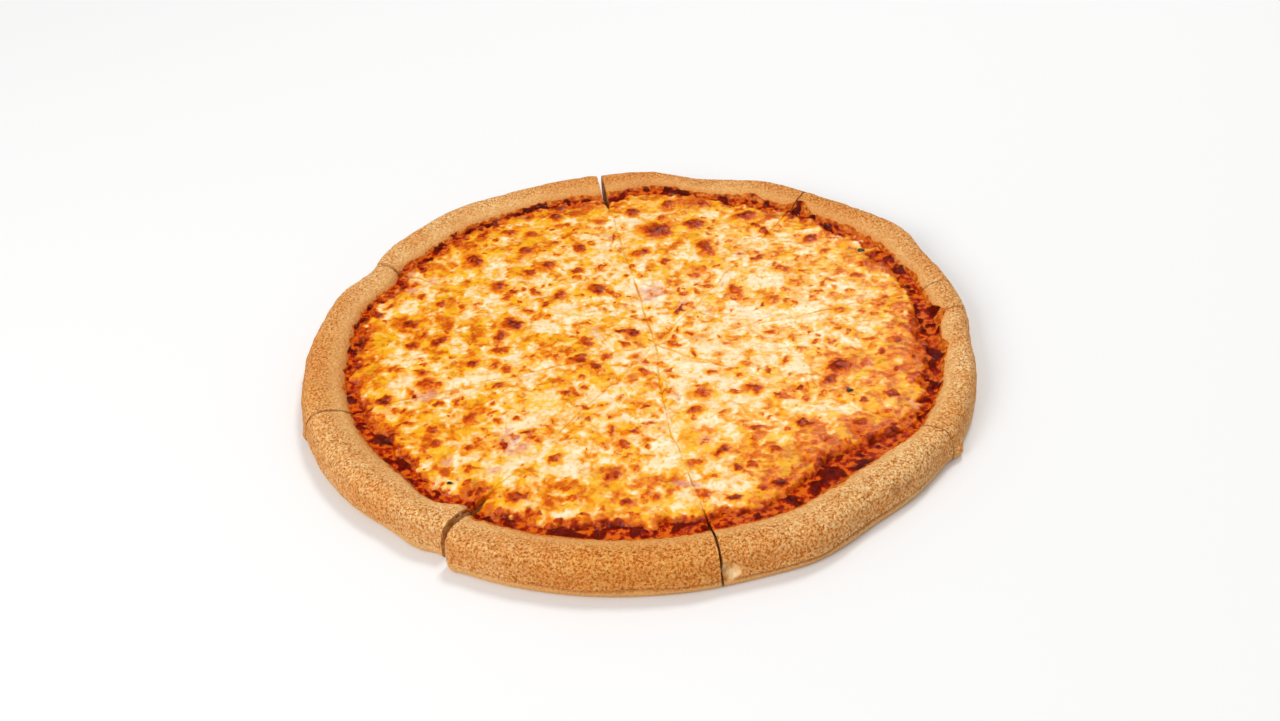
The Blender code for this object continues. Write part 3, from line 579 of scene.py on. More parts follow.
def rim_section():
    """The rim's section from its inner foot over the crest to its base: inset, height and normal, as columns.

    Three quarters of superellipses, |across|^p + |up|^p = 1, resampled to even steps along the line.
    """
    turn = np.linspace(0.0, math.pi / 2.0, 80)
    cosine = np.clip(np.cos(turn), 0.0, 1.0)
    sine = np.sin(turn)
    inner = CREST_INSET + (RIM_WIDTH - CREST_INSET) * cosine ** (2.0 / INNER_POWER)
    inner_up = DOUGH_THICKNESS + (RIM_HEIGHT - DOUGH_THICKNESS) * sine ** (2.0 / INNER_POWER)
    outer = CREST_INSET * (1.0 - sine ** (2.0 / OUTER_POWER))
    outer_up = WIDEST_HEIGHT + (RIM_HEIGHT - WIDEST_HEIGHT) * cosine ** (2.0 / OUTER_POWER)
    under = UNDERSIDE_INSET * (1.0 - cosine ** (2.0 / OUTER_POWER))
    under_up = WIDEST_HEIGHT * (1.0 - sine ** (2.0 / OUTER_POWER))
    inset = np.concatenate([inner, outer[1:], under[1:]])
    height = np.concatenate([inner_up, outer_up[1:], under_up[1:]])
    along = np.append(0.0, np.cumsum(np.hypot(np.diff(inset), np.diff(height))))
    even = np.linspace(0.0, along[-1], round(along[-1] / RIM_STEP) + 1)
    inset = np.interp(even, along, inset)
    height = np.interp(even, along, height)
    rise = np.gradient(height, even)
    run = np.gradient(inset, even)
    size = np.hypot(rise, run)
    return [part[:, None] for part in (inset, height, -rise / size, -run / size)]


def foot_fade(inset):
    """1 on the rim, and 0 at its inner foot, which the sauce covers."""
    return smooth(-1.0, 8.0, RIM_WIDTH * 0.8 - inset)


def rim_relief(x, y, z, inset):
    """Lumps of the rim, the sum of their layers of noise. They fade towards the foot and the base."""
    return layers(x, y, z, RIM_LUMPS) * foot_fade(inset) * smooth(0.0, WIDEST_HEIGHT, z)


def rim_grit(x, y, z):
    """Semolina grit from 0 to 1, sharpened fine noise. Its amount is greatest in front, and 0 at the base."""
    amount = 0.62 + 0.38 * np.cos(np.arctan2(y, x) - math.radians(285.0)) ** 3
    return smooth(-0.35, 0.55, layers(x, y, z, RIM_GRIT)), amount * smooth(2.6, 4.6, z)


def lap_inset(x, y):
    """Inset of the ragged line that the sauce's film ends at, on the inner side of the rim."""
    return LAP_INSET - swell(np.arctan2(y, x), LAP_SWELLS) + layers(x, y, 0.0, LAP_RAGGED)


def shoulder_height(x, y):
    """Top of the dough on the rim's inner side: the section's superellipse with its swells and lumps."""
    inset = np.clip(inset_at(x, y), CREST_INSET, RIM_WIDTH)
    across = (inset - CREST_INSET) / (RIM_WIDTH - CREST_INSET)
    up = (1.0 - across ** INNER_POWER) ** (1.0 / INNER_POWER)
    swells = foot_fade(inset) * swell(np.arctan2(y, x), RIM_HEIGHT_SWELLS)
    z = DOUGH_THICKNESS + (RIM_HEIGHT - DOUGH_THICKNESS + swells) * up
    return z + rim_relief(x, y, RIM_HEIGHT, inset)


def torn(points):
    """Points inside the torn bite are moved in towards the middle, to the far wall of its ellipsoid."""
    inwards = -np.append(TORN_PLACE[:2], 0.0) / np.hypot(*TORN_PLACE[:2])
    place = (points - TORN_PLACE) / TORN_SIZE
    run = inwards / TORN_SIZE
    a = run @ run
    b = place @ run
    c = (place * place).sum(axis=-1) - 1.0
    deep = np.where(c < 0.0, (-b + np.sqrt(np.maximum(b * b - a * c, 0.0))) / a, 0.0)
    crumbly = rough(*np.moveaxis(points, -1, 0), 1.6, 9)
    return points + inwards * (deep * (0.85 + 0.3 * crumbly))[..., None], smooth(0.0, 0.8, deep)


def cracked(points):
    """Depth of the crack across the rim: a groove exp(-(distance / width)^2) along a short line in plan."""
    line = (CRACK_END - CRACK_START) / np.hypot(*(CRACK_END - CRACK_START))
    place = points[..., :2] - CRACK_START
    along = place @ line
    across = place[..., 1] * line[0] - place[..., 0] * line[1] + 0.5 * rough(along, 0.0, 0.0, 3.0, 12)
    fade = smooth(-1.0, 4.0, along) * smooth(6.0, 13.0, points[..., 2])
    return fade * np.exp(-((across / CRACK_WIDTH) ** 2))


def dough_surface(wedge, inset, height, out, up):
    """Points of the rim's skin for rows of the section: with swells, lumps, crease, dents and pulled corners.

    The lumps go straight up on the inner side and along the normal elsewhere. The grit goes along the normal.
    """
    rows = [wedge.reach(lambda angle, row=row: radius_at_inset(angle, row)) for row in inset[:, 0]]
    x, y = wedge.place(np.stack(rows))
    angle = np.arctan2(y, x)
    inner = inset > CREST_INSET + 1e-6
    share = np.clip((height - DOUGH_THICKNESS) / (RIM_HEIGHT - DOUGH_THICKNESS), 0.0, 1.0)
    away = (height - CREASE_HEIGHT - 0.9 * rough(x, y, 0.0, 11.0, 13)) / CREASE_HALF
    groove = np.exp(-(away ** 2)) * np.where(inner, 0.0, swell(angle, CREASE_SWELLS))
    scar = patches(x, y, SCARS) * smooth(8.0, 12.0, height)
    relief = rim_relief(x, y, np.where(inner, RIM_HEIGHT, height), inset) - SCAR_DEPTH * scar
    grit, amount = rim_grit(x, y, height)
    grains = GRIT_HEIGHT * (grit - 0.5) * amount
    step = np.where(inner, 0.0, out) * relief - CREASE_DEPTH * groove + out * grains
    x = x + np.cos(angle) * step
    y = y + np.sin(angle) * step
    z = height + share * foot_fade(inset) * swell(angle, RIM_HEIGHT_SWELLS)
    z = np.maximum(z + np.where(inner, 1.0, up) * relief + up * grains, 0.0)
    for corner_x, corner_y, pull, spread in CORNERS:
        near = np.exp(-((x - corner_x) ** 2 + (y - corner_y) ** 2) / spread**2)
        step = pull * near * (1.0 - smooth(4.0, 9.0, height))
        x = x + np.cos(angle) * step
        y = y + np.sin(angle) * step
    return stack(x, y, z), {
        # crease holds the crease's groove and the dents, which the material paints dark brown as painted shade
        # in these hollows.
        "crease": np.maximum(groove, scar),
        "grit": grit,
        "coarse": amount,
        "shoulder": np.broadcast_to(smooth(11.0, 17.0, inset) * inner, x.shape),
        "stain": smooth(-3.2, 0.6, inset - lap_inset(x, y)) * inner,
        "baked": np.clip(swell(angle, RIM_BAKES_AND_SHADE), 0.0, 1.0),
    }


def cut_face_grid(upper, lower, outwards):
    """The cut face between two lines of points. Noise presses the crumb's pores in, less at the edges."""
    share = np.linspace(0.0, 1.0, CUT_FACE_ROWS)
    face = lower[:, None] * (1.0 - share[:, None]) + upper[:, None] * share[:, None]
    thick = np.linalg.norm(upper - lower, axis=1)[:, None]
    edge = smooth(0.0, 0.12, share) * (1.0 - smooth(0.88, 1.0, share)) * smooth(0.0, 4.0, thick)
    deep = 0.55 * np.clip(layers(*np.moveaxis(face, -1, 0), CRUMB_PORES) + 0.2, 0.0, 1.0) * edge
    return face - np.append(outwards, 0.0) * deep[..., None]


def dough_slice(number, material):
    """One slice of dough: the rim's skin, two cut faces with crumb, and flat polygons above and below."""
    section = rim_section()
    wedge = Wedge(number, RIM_STEP)
    skin, skin_marks = dough_surface(wedge, *section)
    foot = np.hypot(skin[0, :, 0] - wedge.tip[0], skin[0, :, 1] - wedge.tip[1])
    steps = np.arange(0.0, 1.0, FLAT_STEP / foot.mean())[:, None]
    share = np.linspace(0.0, 1.0, len(skin))[:, None]
    grids = [skin]
    marks = [skin_marks]
    tops = []
    bases = []
    for column, order, outwards in ((0, 1, -wedge.low_across), (-1, -1, wedge.high_across)):
        x, y = wedge.place(steps * foot[column])
        plan = np.stack([x[:, column], y[:, column]], -1)
        below = np.concatenate([plan, skin[0, column, :2] * (1.0 - share) + skin[-1, column, :2] * share])
        tops.append(stack(plan[:, 0], plan[:, 1], DOUGH_THICKNESS))
        bases.append(stack(below[:, 0], below[:, 1], 0.0))
        face = cut_face_grid(np.concatenate([tops[-1], skin[:, column]]), bases[-1], outwards)
        crumb = np.ones(face.shape[:2])
        crumb[:, -1] = 0.0
        grids.append(face[:, ::order])
        marks.append({"crumb": crumb[:, ::order]})
    polygons = [
        np.concatenate([tops[0], skin[0], tops[1][::-1]]),
        np.concatenate([bases[1], skin[-1, ::-1], bases[0][::-1]]),
    ]
    if number == TORN_SLICE:
        for index, grid in enumerate(grids):
            grids[index], tear = torn(grid)
            marks[index]["crumb"] = np.maximum(marks[index].get("crumb", 0.0), tear)
        polygons = [torn(polygon)[0] for polygon in polygons]
    if number == CRACK_SLICE:
        for index, grid in enumerate(grids):
            marks[index]["crack"] = cracked(grid)
            grids[index] = grid - marks[index]["crack"][..., None] * (0.0, 0.0, CRACK_DEPTH)
    add_piece("dough", number, "crust", 70.0, material, grids, polygons, marks)


def spot_marks(x, y, warp_x, warp_y, rows):
    """Browning, halo and dome of the spots: the greatest of each, falling off in its spot's ellipse."""
    brown = np.zeros(x.shape)
    halo = np.zeros(x.shape)
    dome = np.zeros(x.shape)
    low = np.array([x.min(), y.min()]) - 14.0
    high = np.array([x.max(), y.max()]) + 14.0
    for spot in rows:
        if not (low[0] < spot[0] < high[0] and low[1] < spot[1] < high[1]):
            continue
        reach = spot[2] * 1.5 + 3.0
        near = np.nonzero((np.abs(x - spot[0]) < reach) & (np.abs(y - spot[1]) < reach))
        away = ellipse_away(warp_x[near], warp_y[near], spot)
        brown[near] = np.maximum(brown[near], spot[5] * (1.0 - smooth(0.45, 1.5, away)))
        halo[near] = np.maximum(halo[near], min(1.0, spot[5] * 1.35) * (1.0 - smooth(0.8, 2.2, away)))
        rise = 0.10 * math.sqrt(spot[2] * spot[3]) * (0.6 + 0.6 * spot[5])
        dome[near] = np.maximum(dome[near], rise * (1.0 - np.clip(away / 1.25, 0.0, 1.0) ** 2) ** 2)
    return brown, halo, dome


def ring_burn(angle):
    """How burnt the ring is at an angle, from 0 to 1."""
    return np.clip(swell(angle, RING_BURNS), 0.0, 1.0)


def bare_lumps(x, y):
    """Lumps of cooked tomato in the ring: rounded where the coarse noise is high, with fine noise added."""
    coarse = rough(x, y, 0.0, RING_LUMP_LENGTH, 20)
    fine = rough(x, y, 0.0, RING_LUMP_LENGTH * 0.4, 21)
    return 0.9 * smooth(0.0, 0.6, coarse + 0.25 * fine) + 0.26 * fine


def sauce_fields(x, y):
    """Top of the sauce and its marks: pooled inside the rim, higher in the ring, then a film on the rim."""
    angle = np.arctan2(y, x)
    inset = inset_at(x, y)
    on_rim = inset < RIM_WIDTH
    to_lap = inset - lap_inset(x, y)
    covered = smooth(-0.7, 0.7, to_lap)
    ring = smooth(-4.0, 1.5, np.hypot(x, y) - cheese_radius(angle))
    lumps = bare_lumps(x, y)
    brown, _, dome = spot_marks(x, y, x, y, [spot for spot in SPOTS if spot[5] > SAUCE_SPOT_DEPTH])
    pool = SAUCE_TOP + (RING_TOP - SAUCE_TOP + RING_LUMP * lumps + 1.2 * dome) * ring
    film = shoulder_height(x, y) - FILM_SINK + (FILM + FILM_SINK + 0.25 * lumps + 0.6 * dome) * covered
    top = np.where(on_rim, np.maximum(pool - 30.0 * (1.0 - covered), film), pool)
    burnt = smooth(0.5, 1.4, lumps + 0.35 * rough(x, y, 0.0, 14.0, 24) + 0.8 * ring_burn(angle)) * ring
    burnt = np.maximum(burnt, brown) * np.where(on_rim, smooth(0.2, 1.8, to_lap), 1.0)
    thin = np.where(on_rim, smooth(0.0, 1.0, film - pool + 0.4), 0.0)
    return top, {"burnt": burnt, "thin": thin, "lump": np.clip(lumps, 0.0, 1.0)}


def sauce_slice(number, material):
    """One slice of sauce: rows from its tip to the end of its film and back below it, and flat cut faces."""
    wedge = Wedge(number, SAUCE_STEP, shrink=SAUCE_SHRINK)
    ring = wedge.reach(lambda angle: cheese_radius(angle) - RING_REACH)
    end = wedge.reach(lambda angle: radius_at_inset(angle, LAP_END))
    share = np.linspace(0.0, 1.0, round((end - ring).mean() / SAUCE_STEP))[:, None]
    distance = np.concatenate([np.zeros((1, len(end))), ring[None] * 0.5, ring + (end - ring) * share])
    x, y = wedge.place(distance)
    top, marks = sauce_fields(x, y)
    upper = stack(x, y, top)
    x, y = wedge.place(np.concatenate([distance[::-1][::4], distance[:1]]))
    under = np.where(inset_at(x, y) < RIM_WIDTH, shoulder_height(x, y) - FILM_UNDER - FILM_SINK, SAUCE_BOTTOM)
    lower = stack(x, y, np.maximum(under, SAUCE_BOTTOM))
    skin = np.concatenate([upper, lower])
    marks = {key: np.concatenate([value, np.zeros(lower.shape[:2])]) for key, value in marks.items()}
    add_piece("sauce", number, "sauce", 60.0, material, [skin], [skin[::-1, 0], skin[:, -1]], [marks])


def drawn_flecks():
    """Small browned flecks by a seeded draw, evenly over the round."""
    draw = np.random.default_rng(FLECK_SEED)
    radius = FLECK_REACH * np.sqrt(draw.random(FLECKS))
    angle = draw.uniform(0.0, 2.0 * math.pi, FLECKS)
    length = draw.uniform(*FLECK_SIZE, FLECKS)
    width = length * draw.uniform(0.5, 1.0, FLECKS)
    turn = draw.uniform(-90.0, 90.0, FLECKS)
    depth = draw.uniform(*FLECK_DEPTH, FLECKS)
    return np.column_stack([radius * np.cos(angle), radius * np.sin(angle), length, width, turn, depth])


ALL_SPOTS = [*SPOTS, *drawn_flecks().tolist()]


def cheese_fields(x, y, to_cut, shows):
    """Top of the cheese and its marks in plan, each a sum or the greatest of noise, patches and edges.

    cover is the distance in from the cheese's ragged edge, and what lies along the edge fades as it grows.
    """
    burn = ring_burn(np.arctan2(y, x))
    cover = cheese_radius(np.arctan2(y, x)) - np.hypot(x, y) + layers(x, y, 0.0, CHEESE_RAGGED) - 0.4
    warped = x + layers(x, y, 0.0, WARP_X), y + layers(x, y, 0.0, WARP_Y)
    brown, halo, dome = spot_marks(x, y, *warped, ALL_SPOTS)
    folds = patches(*warped, FOLDS)
    ground = layers(*warped, 0.0, MOTTLE) + 0.2 * rough(x, y, 0.0, 1.2, 49)
    # PALE and the folds make the ground paler: the cheese's cream, with a painted highlight on the folds and a
    # painted sheen at the centre right.
    ground = ground + patches(x, y, TOASTED) - 0.8 * patches(x, y, PALE) - 0.5 * folds
    toast = smooth(-0.42, 1.0, ground + (0.45 + 0.35 * burn) * (1.0 - smooth(0.0, 17.0, cover)))
    toast = np.maximum(toast, halo * (0.8 + 0.25 * rough(x, y, 0.0, 2.6, 48)))
    below = patches(*warped, SAUCE_BELOW) * smooth(-0.6, 0.6, rough(x, y, 0.0, 3.5, 39) + 0.2)
    seep = 1.0 - smooth(-1.5, 6.5 + 2.0 * burn, cover + layers(x, y, 0.0, SEEP_WANDER))
    edge = 1.0 - smooth(0.2, 2.6 + 3.0 * burn, cover)
    edge = (0.6 + 0.35 * burn) * edge * smooth(-0.2 - 0.5 * burn, 0.6, rough(x, y, 0.0, 6.0, 41))
    lumps = smooth(0.15, 0.6, layers(x, y, 0.0, EDGE_LUMPS)) * (1.0 - smooth(3.0, 13.0 + 4.0 * burn, cover))
    brown = np.maximum(np.maximum(brown, edge), (0.62 + 0.25 * burn) * lumps)
    # The folds stay less brown, as part of their painted highlight.
    brown = brown * (1.0 - 0.6 * np.clip(folds, 0.0, 1.0)) * (0.88 + 0.4 * rough(x, y, 0.0, 1.7, 50))
    shreds = rough(x * 0.55 + 3.0 * rough(x, y, 0.0, 12.0, 42), y * 1.3, 0.0, 2.4, 43)
    crinkle = brown * (0.28 * rough(x, y, 0.0, 1.6, 46) + 0.1)
    full = CHEESE_EDGE_TOP + (CHEESE_TOP - CHEESE_EDGE_TOP) * smooth(0.0, CHEESE_EDGE_FALL, cover)
    full = full + layers(x, y, 0.0, CHEESE_WAVES) + 0.28 * shreds + crinkle + 0.8 * folds
    full = full + (dome + 0.5 * lumps) * smooth(0.0, 2.0, cover) - 0.5 * below - 0.5 * seep
    plain = np.clip(shows + 0.9 * rough(x, y, 0.0, 8.0, 47), 0.03, 1.0)
    full = full - plain * (0.7 * np.exp(-((to_cut / 0.6) ** 2)) + 0.4 * np.exp(-((to_cut / 2.4) ** 2)))
    # Along each cut the toast mark rises as plainly as the cut shows: painted shade in the cut's pressed
    # groove.
    return CHEESE_SUNK + (full - CHEESE_SUNK) * smooth(-0.6, 0.7, cover), {
        "toast": np.maximum(toast, 0.65 * plain * np.exp(-((to_cut / 0.5) ** 2))),
        "brown": brown,
        "oil": patches(*warped, POOLS),
        "below": below,
        "seep": seep,
        "herb": patches(*warped, HERBS),
    }


def cheese_slice(number, material):
    """One slice of cheese: its top, walls down to its flat underside, bulging a little at the cuts."""
    wedge = Wedge(number, CHEESE_ARC_STEP, closed=True)
    edge = wedge.reach(lambda angle: radius_at_inset(angle, RIM_WIDTH) - 0.8)
    distance = edge * np.linspace(0.0, 1.0, round(edge.mean() / CHEESE_STEP))[:, None]
    opened = smooth(-16.0, -1.0, distance - edge)
    x, y = wedge.place(distance, [opened * RAYS[cut][1] / 2.0 for cut in wedge.cuts])
    shows = CUT_SHOWS[wedge.cuts[0]] * (1.0 - wedge.share) + CUT_SHOWS[wedge.cuts[1]] * wedge.share
    top, marks = cheese_fields(x, y, wedge.to_cut(distance), shows)
    upper = stack(x, y, top)
    base = stack(x, y, CHEESE_BOTTOM)
    share = np.array((0.0, 0.5, 1.0))[:, None]
    grids = [upper]
    all_marks = [marks]
    for line, outwards in (
        (np.s_[:, 0], -wedge.low_across),
        (np.s_[::-1, -1], wedge.high_across),
        (np.s_[-1], np.zeros(2)),
    ):
        wall = base[line][:, None] * (1.0 - share) + upper[line][:, None] * share
        wall[:, 1, :2] += outwards * 0.2
        grids.append(wall)
        all_marks.append({key: value[line][:, None] * (0.6, 0.8, 1.0) for key, value in marks.items()})
    all_marks[-1] = {"toast": np.full(wall.shape[:2], 0.55)}
    outline = np.concatenate([base[:, 0], base[-1, 1:], base[::-1, -1][1:]])[::-1]
    add_piece("cheese", number, "cheese", 75.0, material, grids, [outline], all_marks)


def colour(text):
    """A colour given as it looks on a screen, #RRGGBB, as linear light."""
    parts = np.array([int(text[place:place + 2], 16) for place in (1, 3, 5)]) / 255.0
    linear = np.where(parts <= 0.04045, parts / 12.92, ((parts + 0.055) / 1.055) ** 2.4)
    return (*linear.tolist(), 1.0)


class Tree:
    """Short names for the node types that the materials use.

    A value is an output, a number, a vector or a text: a colour as #RRGGBB, or the name of the mesh's mark.
    """

    def __init__(self, tree):
        self.tree = tree

    def add(self, kind, inputs=(), **settings):
        made = self.tree.nodes.new(kind)
        for name, value in settings.items():
            setattr(made, name, value)
        for name, value in dict(inputs).items():
            self.put(made.inputs[name], value)
        return made

    def put(self, socket, value):
        if isinstance(value, str) and value.startswith("#"):
            value = colour(value)
        elif isinstance(value, str):
            value = self.add("ShaderNodeAttribute", attribute_name=value).outputs["Fac"]
        if isinstance(value, bpy.types.NodeSocket):
            self.tree.links.new(value, socket)
        else:
            socket.default_value = value

    def coordinates(self):
        return self.add("ShaderNodeTexCoord").outputs["Object"]

    def noise(self, scale, detail=3.0, roughness=0.55):
        """Noise at a number of grains for each metre."""
        inputs = {"Vector": self.coordinates(), "Scale": scale, "Detail": detail, "Roughness": roughness}
        return self.add("ShaderNodeTexNoise", inputs).outputs["Fac"]

    def maths(self, operation, first, second, clamp=False):
        made = self.add("ShaderNodeMath", {0: first, 1: second}, operation=operation, use_clamp=clamp)
        return made.outputs[0]

    def times(self, first, second, clamp=False):
        return self.maths("MULTIPLY", first, second, clamp)

    def ranged(self, value, low, high, to_low=0.0, to_high=1.0):
        inputs = {"Value": value, "From Min": low, "From Max": high, "To Min": to_low, "To Max": to_high}
        return self.add("ShaderNodeMapRange", inputs).outputs["Result"]

    def rippled(self, value, noise, low, high, clamp=True):
        """A value plus noise that goes from low to high."""
        return self.maths("ADD", value, self.ranged(noise, 0.3, 0.7, low, high), clamp)

    def mix(self, share, first, second, blend="MIX"):
        inputs = {0: share, 6: first, 7: second}
        return self.add("ShaderNodeMix", inputs, data_type="RGBA", blend_type=blend).outputs[2]

    def ramp(self, share, stops):
        made = self.add("ShaderNodeValToRGB", {"Fac": share})
        elements = made.color_ramp.elements
        while len(elements) < len(stops):
            elements.new(1.0)
        for element, (place, tone) in zip(elements, stops):
            element.position = place
            element.color = colour(tone)
        return made.outputs["Color"]


def new_group(name, inputs, outputs):
    """A new shader node group. inputs are (name, socket type, default), and outputs (name, socket type)."""
    group = bpy.data.node_groups.new(name, "ShaderNodeTree")
    for label, kind, default in inputs:
        group.interface.new_socket(label, in_out="INPUT", socket_type=kind).default_value = default
    for label, kind in outputs:
        group.interface.new_socket(label, in_out="OUTPUT", socket_type=kind)
    tree = Tree(group)
    return group, tree, tree.add("NodeGroupInput").outputs, tree.add("NodeGroupOutput").inputs


def scorch_group():
    """Browning: a colour goes through orange and red-brown to near black as its mask and noise rise."""
    group, tree, given, out = new_group(
        "scorch",
        [
            ("Ground", "NodeSocketColor", (1, 1, 1, 1)),
            ("Brown", "NodeSocketFloat", 0.0),
            ("Grain", "NodeSocketFloat", 560.0),
        ],
        [("Colour", "NodeSocketColor"), ("Mask", "NodeSocketFloat")],
    )
    fine = tree.noise(given["Grain"], detail=4.0, roughness=0.7)
    shift = tree.times(tree.ranged(fine, 0.32, 0.68, -0.24, 0.22), tree.ranged(given["Brown"], 0.0, 0.25))
    mask = tree.maths("ADD", given["Brown"], shift, clamp=True)
    tones = tree.ramp(mask, SCORCH_TONES)
    tree.put(out["Colour"], tree.mix(tree.ranged(mask, 0.12, 0.36), given["Ground"], tones))
    tree.put(out["Mask"], mask)
    return group


def grain_group():
    """Fine relief: two sizes of noise mixed, as a height from 0 to 1."""
    sizes = (("Coarse", 500.0), ("Fine", 1600.0), ("Share", 0.5))
    group, tree, given, out = new_group(
        "fine_relief",
        [(name, "NodeSocketFloat", default) for name, default in sizes],
        [("Height", "NodeSocketFloat")],
    )
    coarse = tree.noise(given["Coarse"])
    inputs = {0: given["Share"], 2: coarse, 3: tree.noise(given["Fine"], detail=2.0)}
    tree.put(out["Height"], tree.add("ShaderNodeMix", inputs, data_type="FLOAT").outputs[0])
    return group


def new_material(name, constants):
    """A material with constants set on its Principled BSDF."""
    material = bpy.data.materials.new(name)
    material.use_nodes = True
    sockets = material.node_tree.nodes["Principled BSDF"].inputs
    for socket, value in constants.items():
        sockets[socket].default_value = value
    return material, Tree(material.node_tree), sockets


def bump(tree, sockets, height, strength, distance):
    """A bump on the normal."""
    made = tree.add("ShaderNodeBump", {"Height": height, "Strength": strength, "Distance": distance})
    tree.put(sockets["Normal"], made.outputs["Normal"])


def cheese_material(scorch, grain):
    """Melted cheese: cream to orange as toasted and, along the cuts, as painted shade; yellow in pools of oil,
    red where sauce shows, and brown.
    """
    material, tree, sockets = new_material("melted_cheese", CHEESE_SURFACE)
    middle = tree.noise(420.0, detail=4.0, roughness=0.6)
    fine = tree.noise(1100.0)
    toast = tree.rippled("toast", middle, -0.16, 0.16, clamp=False)
    toast = tree.rippled(toast, fine, -0.07, 0.07)
    ground = tree.ramp(toast, CHEESE_TONES)
    ground = tree.mix(tree.ranged(tree.noise(130.0), 0.38, 0.58, 0.0, 0.85), ground, "#FCE8CE", "MULTIPLY")
    pools = tree.rippled(tree.noise(165.0, roughness=0.6), middle, -0.07, 0.07, clamp=False)
    pools = tree.times(tree.ranged(pools, 0.46, 0.62, 0.0, 0.66), tree.ranged(toast, 0.0, 0.3, 0.15, 1.0))
    oil = tree.times("oil", tree.ranged(middle, 0.38, 0.58, 0.2, 0.95), clamp=True)
    ground = tree.mix(tree.maths("MAXIMUM", oil, pools), ground, "#F9C31C")
    below = tree.rippled("below", middle, -0.15, 0.15)
    ground = tree.mix(tree.ranged(below, 0.12, 0.6), ground, tree.ramp(below, BELOW_TONES))
    seep = tree.rippled("seep", middle, -0.25, 0.25)
    ground = tree.mix(tree.ranged(seep, 0.1, 0.5), ground, tree.ramp(seep, SEEP_TONES))
    scorched = tree.add("ShaderNodeGroup", {"Ground": ground, "Brown": "brown"}, node_tree=scorch).outputs
    shown = tree.mix(tree.ranged("herb", 0.2, 0.6), scorched["Colour"], "#2C2608")
    tree.put(sockets["Base Color"], shown)
    dull = tree.times(scorched["Mask"], 0.08)
    tree.put(sockets["Roughness"], tree.maths("ADD", tree.ranged(fine, 0.3, 0.7, 0.16, 0.42), dull))
    relief = tree.add("ShaderNodeGroup", {"Coarse": 520.0, "Share": 0.4, "Fine": 1500.0}, node_tree=grain)
    bump(tree, sockets, relief.outputs["Height"], 0.7, 0.0007)
    return material


def sauce_material(grain):
    """Cooked tomato sauce: red, orange where it is a thin film, darker where burnt, and glossy."""
    material, tree, sockets = new_material("tomato_sauce", SAUCE_SURFACE)
    middle = tree.noise(380.0, detail=4.0)
    fine = tree.noise(1300.0)
    lump = tree.maths("ADD", "lump", tree.ranged(middle, 0.34, 0.66, -0.35, 0.52), clamp=True)
    thin = tree.ranged(tree.rippled("thin", fine, -0.2, 0.2), 0.2, 0.9)
    ground = tree.mix(thin, tree.ramp(lump, SAUCE_TONES), tree.ramp(middle, FILM_TONES))
    dark = tree.rippled("burnt", middle, -0.35, 0.25)
    shown = tree.mix(tree.ranged(dark, 0.15, 0.6), ground, tree.ramp(dark, BURNT_TONES))
    tree.put(sockets["Base Color"], shown)
    tree.put(sockets["Roughness"], tree.ranged(fine, 0.3, 0.7, 0.07, 0.22))
    relief = tree.add("ShaderNodeGroup", {"Coarse": 620.0, "Share": 0.35, "Fine": 1700.0}, node_tree=grain)
    bump(tree, sockets, relief.outputs["Height"], 1.0, 0.0011)
    return material


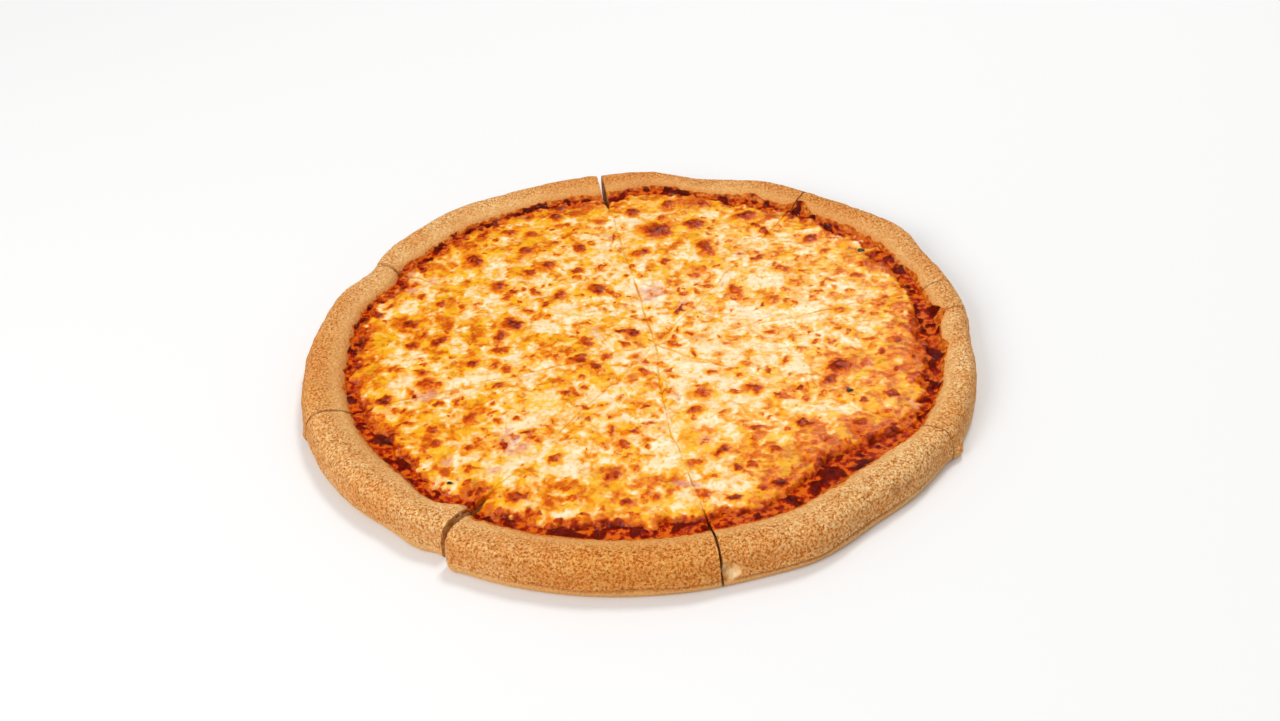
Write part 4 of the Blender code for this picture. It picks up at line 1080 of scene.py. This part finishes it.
def dough_material():
    """Baked crust: tan under a coat of semolina grains, paler by the sauce and the base, crumb where cut.
    Painted shade darkens its sides below the top, its crease, dents and crack, and the rim at some angles.
    """
    material, tree, sockets = new_material("baked_crust", DOUGH_SURFACE)
    broad = tree.noise(28.0)
    middle = tree.noise(210.0, detail=4.0)
    fine = tree.noise(1000.0, roughness=0.7)
    grit = tree.noise(920.0, roughness=0.7)
    height = tree.add("ShaderNodeSeparateXYZ", {"Vector": tree.coordinates()}).outputs["Z"]
    tan = tree.ramp(tree.maths("ADD", tree.times(middle, 0.5), tree.times(broad, 0.5)), TAN_TONES)
    cells = tree.add("ShaderNodeTexVoronoi", {"Vector": tree.coordinates(), "Scale": 860.0}).outputs
    grain = tree.ranged(cells["Distance"], 0.3, 0.75, 1.0, 0.0)
    each = tree.add("ShaderNodeSeparateColor", {"Color": cells["Color"]}).outputs["Red"]
    dots = tree.mix(grain, "#B87230", tree.mix(each, "#D8964E", "#FBD494"))
    coat = tree.mix(0.3, tree.ramp(grit, COAT_TONES), dots)
    bare = tree.ranged("shoulder", 0.0, 1.0, 1.0, 0.75)
    skin = tree.mix(tree.times(tree.ranged("coarse", 0.0, 1.0, 0.72, 1.0), bare), tan, coat)
    # The rim is painted darker and more orange at some angles: partly baked colour, partly painted shade.
    baked = tree.times("baked", tree.ranged(broad, 0.35, 0.65, 0.6, 1.0), clamp=True)
    stain = tree.times("stain", tree.ranged(grit, 0.4, 0.6, 0.1, 1.0))
    # side is a band from 4 to 15.5 mm high, the rim's sides below its top, which is painted darker
    # orange-brown as painted shade.
    side = tree.times(tree.ranged(height, 0.004, 0.009), tree.ranged(height, 0.012, 0.0155, 1.0, 0.0))
    for share, tone, blend in (
        (tree.ranged(broad, 0.38, 0.55, 0.7, 0.0), "#F6D8B0", "MULTIPLY"),
        (baked, "#F0C680", "MULTIPLY"),
        (tree.ranged("grit", 0.0, 0.5, 0.3, 0.0), "#AE6420", "MIX"),
        (tree.times("shoulder", 0.3), "#F6CA88", "MIX"),
        (tree.times(stain, 0.6), "#E48A2C", "MIX"),
        (tree.ranged(height, 0.0032, 0.0052, 0.7, 0.0), "#E2AC6C", "MIX"),
        # Painted shade on the rim's sides below its top.
        (tree.times(side, 0.3), "#C06C20", "MIX"),
        # Painted shade in the crease's groove and in the dents.
        (tree.times("crease", 0.75, clamp=True), "#94501C", "MIX"),
        ("crumb", tree.ramp(middle, CRUMB_TONES), "MIX"),
        # Painted shade down in the crack, darker where it is deeper.
        (tree.ranged("crack", 0.25, 0.8), "#6B3312", "MIX"),
    ):
        skin = tree.mix(share, skin, tone, blend)
    tree.put(sockets["Base Color"], skin)
    tree.put(sockets["Roughness"], tree.ranged(fine, 0.3, 0.7, 0.62, 0.85))
    bump(tree, sockets, tree.maths("ADD", tree.times(grain, 0.3), grit), 0.9, 0.0009)
    return material


def add_floor():
    """A broad plane at the height that the pizza lies on."""
    material, _, _ = new_material("pale_floor", FLOOR_SURFACE)
    corners = [(x * FLOOR_HALF, y * FLOOR_HALF, 0.0) for x, y in ((-1, -1), (1, -1), (1, 1), (-1, 1))]
    mesh = bpy.data.meshes.new("floor")
    mesh.from_pydata(corners, [], [(0, 1, 2, 3)])
    mesh.materials.append(material)
    floor = bpy.data.objects.new("floor", mesh)
    bpy.context.scene.collection.objects.link(floor)


def add_light(name, place, size, power, glossy=True, diffuse=True):
    """A square light that faces the middle of the pizza. Without glossy it makes no highlights.

    Without diffuse it makes nothing but highlights.
    """
    light = bpy.data.lights.new(name, "AREA")
    light.shape = "SQUARE"
    light.size = size
    light.energy = power
    light.color = LIGHT_TONE
    lamp = bpy.data.objects.new(name, light)
    bpy.context.scene.collection.objects.link(lamp)
    lamp.location = place
    aim = np.array(place) / np.linalg.norm(place)
    side = np.cross((0.0, 1.0, 0.0), aim)
    side = side / np.linalg.norm(side)
    turn = Matrix(np.column_stack([side, np.cross(aim, side), aim]).tolist())
    lamp.rotation_euler = turn.to_euler()
    lamp.visible_glossy = glossy
    lamp.visible_diffuse = diffuse


def add_studio():
    """Pale surroundings, soft lights from the front left and the back right, and a small one for glints."""
    world = bpy.data.worlds.new("studio")
    world.use_nodes = True
    background = world.node_tree.nodes["Background"]
    background.inputs["Color"].default_value = (*LIGHT_TONE, 1.0)
    background.inputs["Strength"].default_value = SURROUNDINGS_STRENGTH
    world.cycles_visibility.glossy = False
    bpy.context.scene.world = world
    add_light("front_left", (-1.3, -1.3, 1.3), 1.0, 26.0)
    add_light("back_right", (0.5, 0.85, 1.9), 0.5, 17.0, glossy=False)
    add_light("glint", (0.30, 0.62, 0.72), 0.05, 2.6, diffuse=False)
    bpy.context.scene.view_settings.view_transform = "Standard"


def add_camera():
    """The camera looks level along +Y, then it is tilted down, rolled and moved to its place."""
    data = bpy.data.cameras.new("camera")
    data.sensor_width = 36.0
    data.lens = CAMERA_LENS
    camera = bpy.data.objects.new("camera", data)
    bpy.context.scene.collection.objects.link(camera)
    tilt = Matrix.Rotation(math.radians(90.0 - CAMERA_DOWN), 4, "X")
    roll = Matrix.Rotation(math.radians(CAMERA_ROLL), 4, "Z")
    place = Matrix.Translation([part * MM for part in CAMERA_PLACE])
    camera.matrix_world = place @ tilt @ roll
    bpy.context.scene.camera = camera


def main():
    """Adds the eight slices, the floor, the lights and the camera."""
    grain = grain_group()
    dough = dough_material()
    sauce = sauce_material(grain)
    cheese = cheese_material(scorch_group(), grain)
    for number in range(1, len(RAYS) + 1):
        dough_slice(number, dough)
        sauce_slice(number, sauce)
        cheese_slice(number, cheese)
    add_floor()
    add_studio()
    add_camera()


main()
